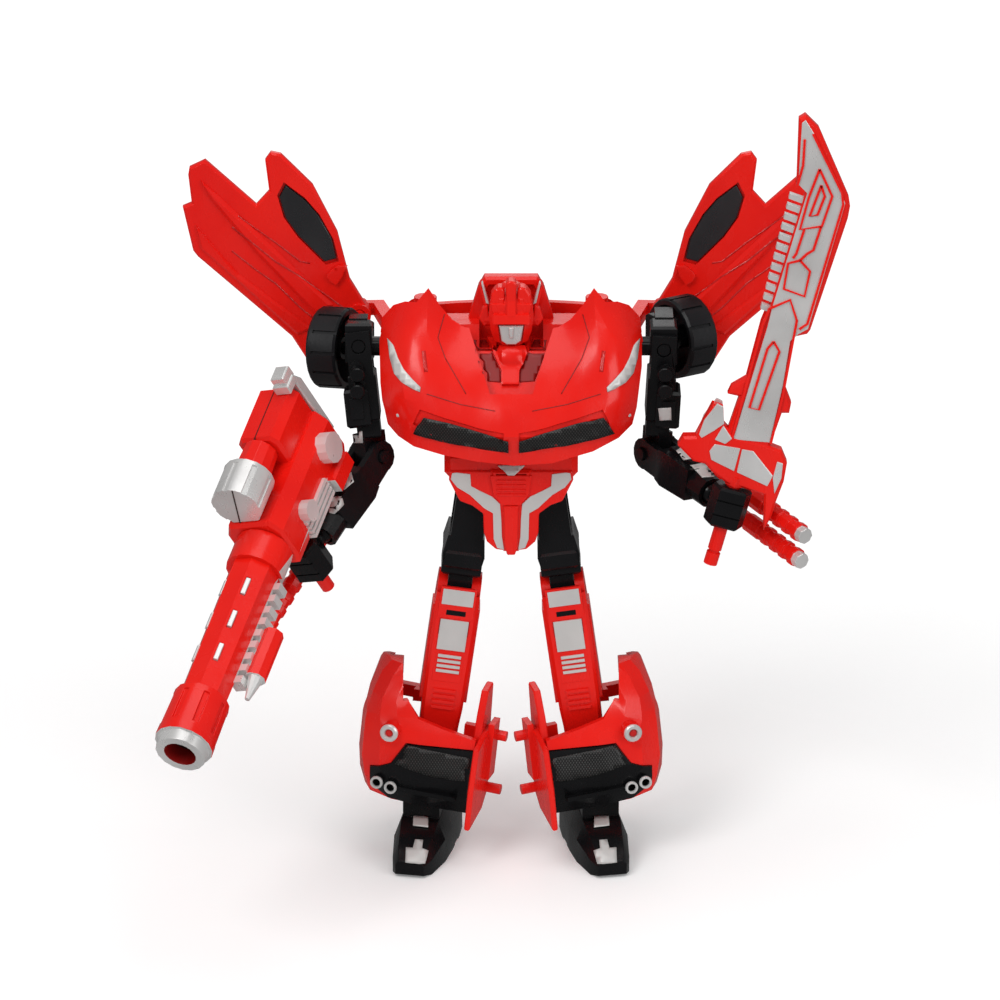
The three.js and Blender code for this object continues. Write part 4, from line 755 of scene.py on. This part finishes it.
GUARD_DEPTHS = (2.5, 3.05)
SWORD_LINE_WIDTH = 0.75


def on_sword(name, outline, depths, material, bevel):
    """The same flat plate on the front and on the back of the sword."""
    for face, word in ((-1, "front"), (1, "back")):
        low, high = sorted(face * depth for depth in depths)
        plate(f"{name}_{word}", outline, low, high, material, "sword", SWORD, bevel)


paint("sword", PAINT, lambda place: place.x < -5.6 and 60 < place.z < 105, SWORD)
on_sword("blade_silver", BLADE_SILVER, SILVER_DEPTHS, PAINT, 0.1)
for line, path in SWORD_LINES.items():
    on_sword(f"blade_{line}", strip(path, SWORD_LINE_WIDTH), LINE_DEPTHS, RED, 0)
for name, outline in GUARD_PLATES.items():
    on_sword(f"guard_{name}", outline, GUARD_DEPTHS, PAINT, 0.2)

# ---------- cannon ----------
muzzle_way = Vector((-0.289, -0.814, -0.505)).normalized()
scope_way = Vector((-0.43, -0.36, 0.83))
cannon_up = (scope_way - muzzle_way * scope_way.dot(muzzle_way)).normalized()
cannon_turn = Matrix((cannon_up.cross(muzzle_way), -muzzle_way, cannon_up)).transposed()
CANNON = local_frame("wrist_left", cannon_turn)
AXIS = 20.5
SCOPE = AXIS + 17
SCOPE_LEAN = math.radians(19)
# Painted areas: x to the side, y along the barrel (muzzle at the low end) and z up from the grip.
CANNON_PAINT = (
    ("cannon_scope", RED, lambda p: p.y > 1.2),
    ("cannon_breech", PAINT, lambda p: p.x > 9.9 and 18 < p.y < 31 and p.z > AXIS - 3),
    ("cannon_breech", PAINT, lambda p: p.x > 9.9 and -4 < p.y < 5 and p.z > AXIS - 3.4),
    ("cannon_breech", PAINT, lambda p: p.x > 8.6 and -4 < p.y < 17 and p.z < AXIS - 1.4),
    ("cannon_barrel", PAINT, lambda p: 5.8 < p.x < 10 and p.y > -68 and AXIS - 7 < p.z < AXIS - 2),
    ("cannon_barrel", PAINT, lambda p: p.x > 7.6 and p.y < -61.5 and p.z < AXIS - 2),
    ("cannon_muzzle", PAINT, lambda p: p.y < -91 and math.hypot(p.x, p.z - AXIS) > 5.1),
    # The faces inside the bore are painted dark red: painted shade.
    ("cannon_muzzle", RED_SHADE, lambda p: math.hypot(p.x, p.z - AXIS) < 5),
)
# A near black disc deep inside the muzzle: painted shade in the bore.
BORE_PLACE = (0, -89.5, AXIS)
BORE_SHADE_DISC = [(4.4, 0), (4.4, -0.5), (2.4, -0.5), (2.4, 0)]
SLOT_ROWS = ((-34, "left"), (34, "right"))
SLOT_COUNT = 3
SLOT_START = 31.4
SLOT_PITCH = 13
SLOT_LENGTH = 6.2
SLOT_HALF_WIDTH = 0.75
TAIL_SEAM = [(-1.7, AXIS + 11), (-1.4, AXIS + 11), (-1.4, AXIS + 22.1), (-1.7, AXIS + 22.1)]

for name, material, chosen in CANNON_PAINT:
    paint(name, material, chosen, CANNON)
lathe("muzzle_bore_shade", BORE_SHADE_DISC, SEAM_AND_SHADE, "cannon", CANNON @ Matrix.Translation(BORE_PLACE))
for turn, word in SLOT_ROWS:
    barrel = CANNON @ Matrix.Translation((0, 0, AXIS)) @ Matrix.Rotation(math.radians(turn), 4, "Y")
    upright = barrel @ Matrix.Rotation(math.radians(90), 4, "X")
    for index in range(SLOT_COUNT):
        near = SLOT_START + SLOT_PITCH * index
        slot = box_outline(SLOT_HALF_WIDTH, near, near + SLOT_LENGTH)
        plate(f"barrel_slot_{index}_{word}", slot, 6.4, 7.75, PAINT, "cannon", upright, 0.2)
scope_face = CANNON @ Matrix.Translation((-1.5, 0, SCOPE + 0.6)) @ Matrix.Rotation(SCOPE_LEAN, 4, "Y")
plate("scope_seam", box_outline(0.2, -8, 8), -12.12, -11.9, SEAM_AND_SHADE, "cannon", scope_face, 0)
plate("tail_seam", TAIL_SEAM, 11.85, 34.1, SEAM_AND_SHADE, "cannon", CANNON, 0)


# ---------- stage ----------
TARGET = HOME @ LOOKED_AT
# Each lamp: place and size in metres, and power in watts.
LAMPS = {
    "key": ((-0.55, -0.75, 0.95), 0.5, 5.6),
    "fill": ((0.75, -0.7, 0.5), 0.6, 3),
    "top": ((0, -0.1, 1.2), 0.8, 3.4),
    "rim": ((0.1, 0.9, 0.7), 0.6, 1.2),
}
SEEN_WHITE = 1.1
AMBIENT = 0.42
MIRRORED = 0.16
FLOOR_SIZE = 4
FLOOR_FADE = (0.16, 0.42)
VIEW_WIDTH = 0.315
SENSOR = 36


def area_light(name, place, size, power):
    data = bpy.data.lights.new(name, "AREA")
    data.size = size
    data.energy = power
    light = bpy.data.objects.new(name, data)
    bpy.context.scene.collection.objects.link(light)
    light.location = place
    light.rotation_euler = (TARGET - Vector(place)).to_track_quat("-Z", "Y").to_euler()


def floor_white():
    """White that takes shadows close to the robot and fades into the white around it."""
    material, tree, shader = new_material("floor_white")
    shader.inputs["Base Color"].default_value = (0.93, 0.93, 0.93, 1)
    shader.inputs["Roughness"].default_value = 0.9
    shader.inputs["Specular IOR Level"].default_value = 0.1
    shader.inputs["Emission Color"].default_value = (1, 1, 1, 1)
    shader.inputs["Emission Strength"].default_value = 0.15
    place = tree.nodes.new("ShaderNodeTexCoord")
    reach = tree.nodes.new("ShaderNodeVectorMath")
    reach.operation = "LENGTH"
    tree.links.new(place.outputs["Object"], reach.inputs[0])
    tree.links.new(ranged(tree, reach.outputs["Value"], 1, 0, *FLOOR_FADE), shader.inputs["Alpha"])
    return material


def lay_floor():
    mesh = bpy.data.meshes.new("floor")
    form = bmesh.new()
    bmesh.ops.create_grid(form, x_segments=2, y_segments=2, size=FLOOR_SIZE)
    form.to_mesh(mesh)
    form.free()
    mesh.materials.append(floor_white())
    floor = bpy.data.objects.new("floor", mesh)
    bpy.context.scene.collection.objects.link(floor)
    floor.visible_glossy = False


def studio_world():
    """White all round to the eye, bright to matt surfaces and dim to mirrored ones."""
    world = bpy.data.worlds.new("studio")
    bpy.context.scene.world = world
    world.use_nodes = True
    tree = world.node_tree
    background = tree.nodes["Background"]
    rays = tree.nodes.new("ShaderNodeLightPath")
    seen = tree.nodes.new("ShaderNodeMath")
    seen.operation = "MULTIPLY_ADD"
    seen.inputs[1].default_value = SEEN_WHITE - AMBIENT
    seen.inputs[2].default_value = AMBIENT
    tree.links.new(rays.outputs["Is Camera Ray"], seen.inputs[0])
    mirrored = tree.nodes.new("ShaderNodeMath")
    mirrored.operation = "MULTIPLY_ADD"
    mirrored.inputs[1].default_value = MIRRORED - AMBIENT
    tree.links.new(rays.outputs["Is Glossy Ray"], mirrored.inputs[0])
    tree.links.new(seen.outputs[0], mirrored.inputs[2])
    tree.links.new(mirrored.outputs[0], background.inputs["Strength"])
    background.inputs["Color"].default_value = (1, 1, 1, 1)


def aim_camera():
    data = bpy.data.cameras.new("camera")
    data.sensor_width = SENSOR
    data.lens = SENSOR * CAMERA_DISTANCE / VIEW_WIDTH
    data.clip_start = 0.1
    data.clip_end = 50
    camera = bpy.data.objects.new("camera", data)
    bpy.context.scene.collection.objects.link(camera)
    camera.location = TARGET - SIGHT * CAMERA_DISTANCE
    camera.rotation_euler = SIGHT.to_track_quat("-Z", "Y").to_euler()
    bpy.context.scene.camera = camera


lay_floor()
for name, (place, size, power) in LAMPS.items():
    area_light(name, place, size, power)
studio_world()
aim_camera()
bpy.context.scene.render.resolution_x = 1000
bpy.context.scene.render.resolution_y = 1000
bpy.context.scene.view_settings.view_transform = "Standard"
bpy.context.scene.view_settings.exposure = 0.0
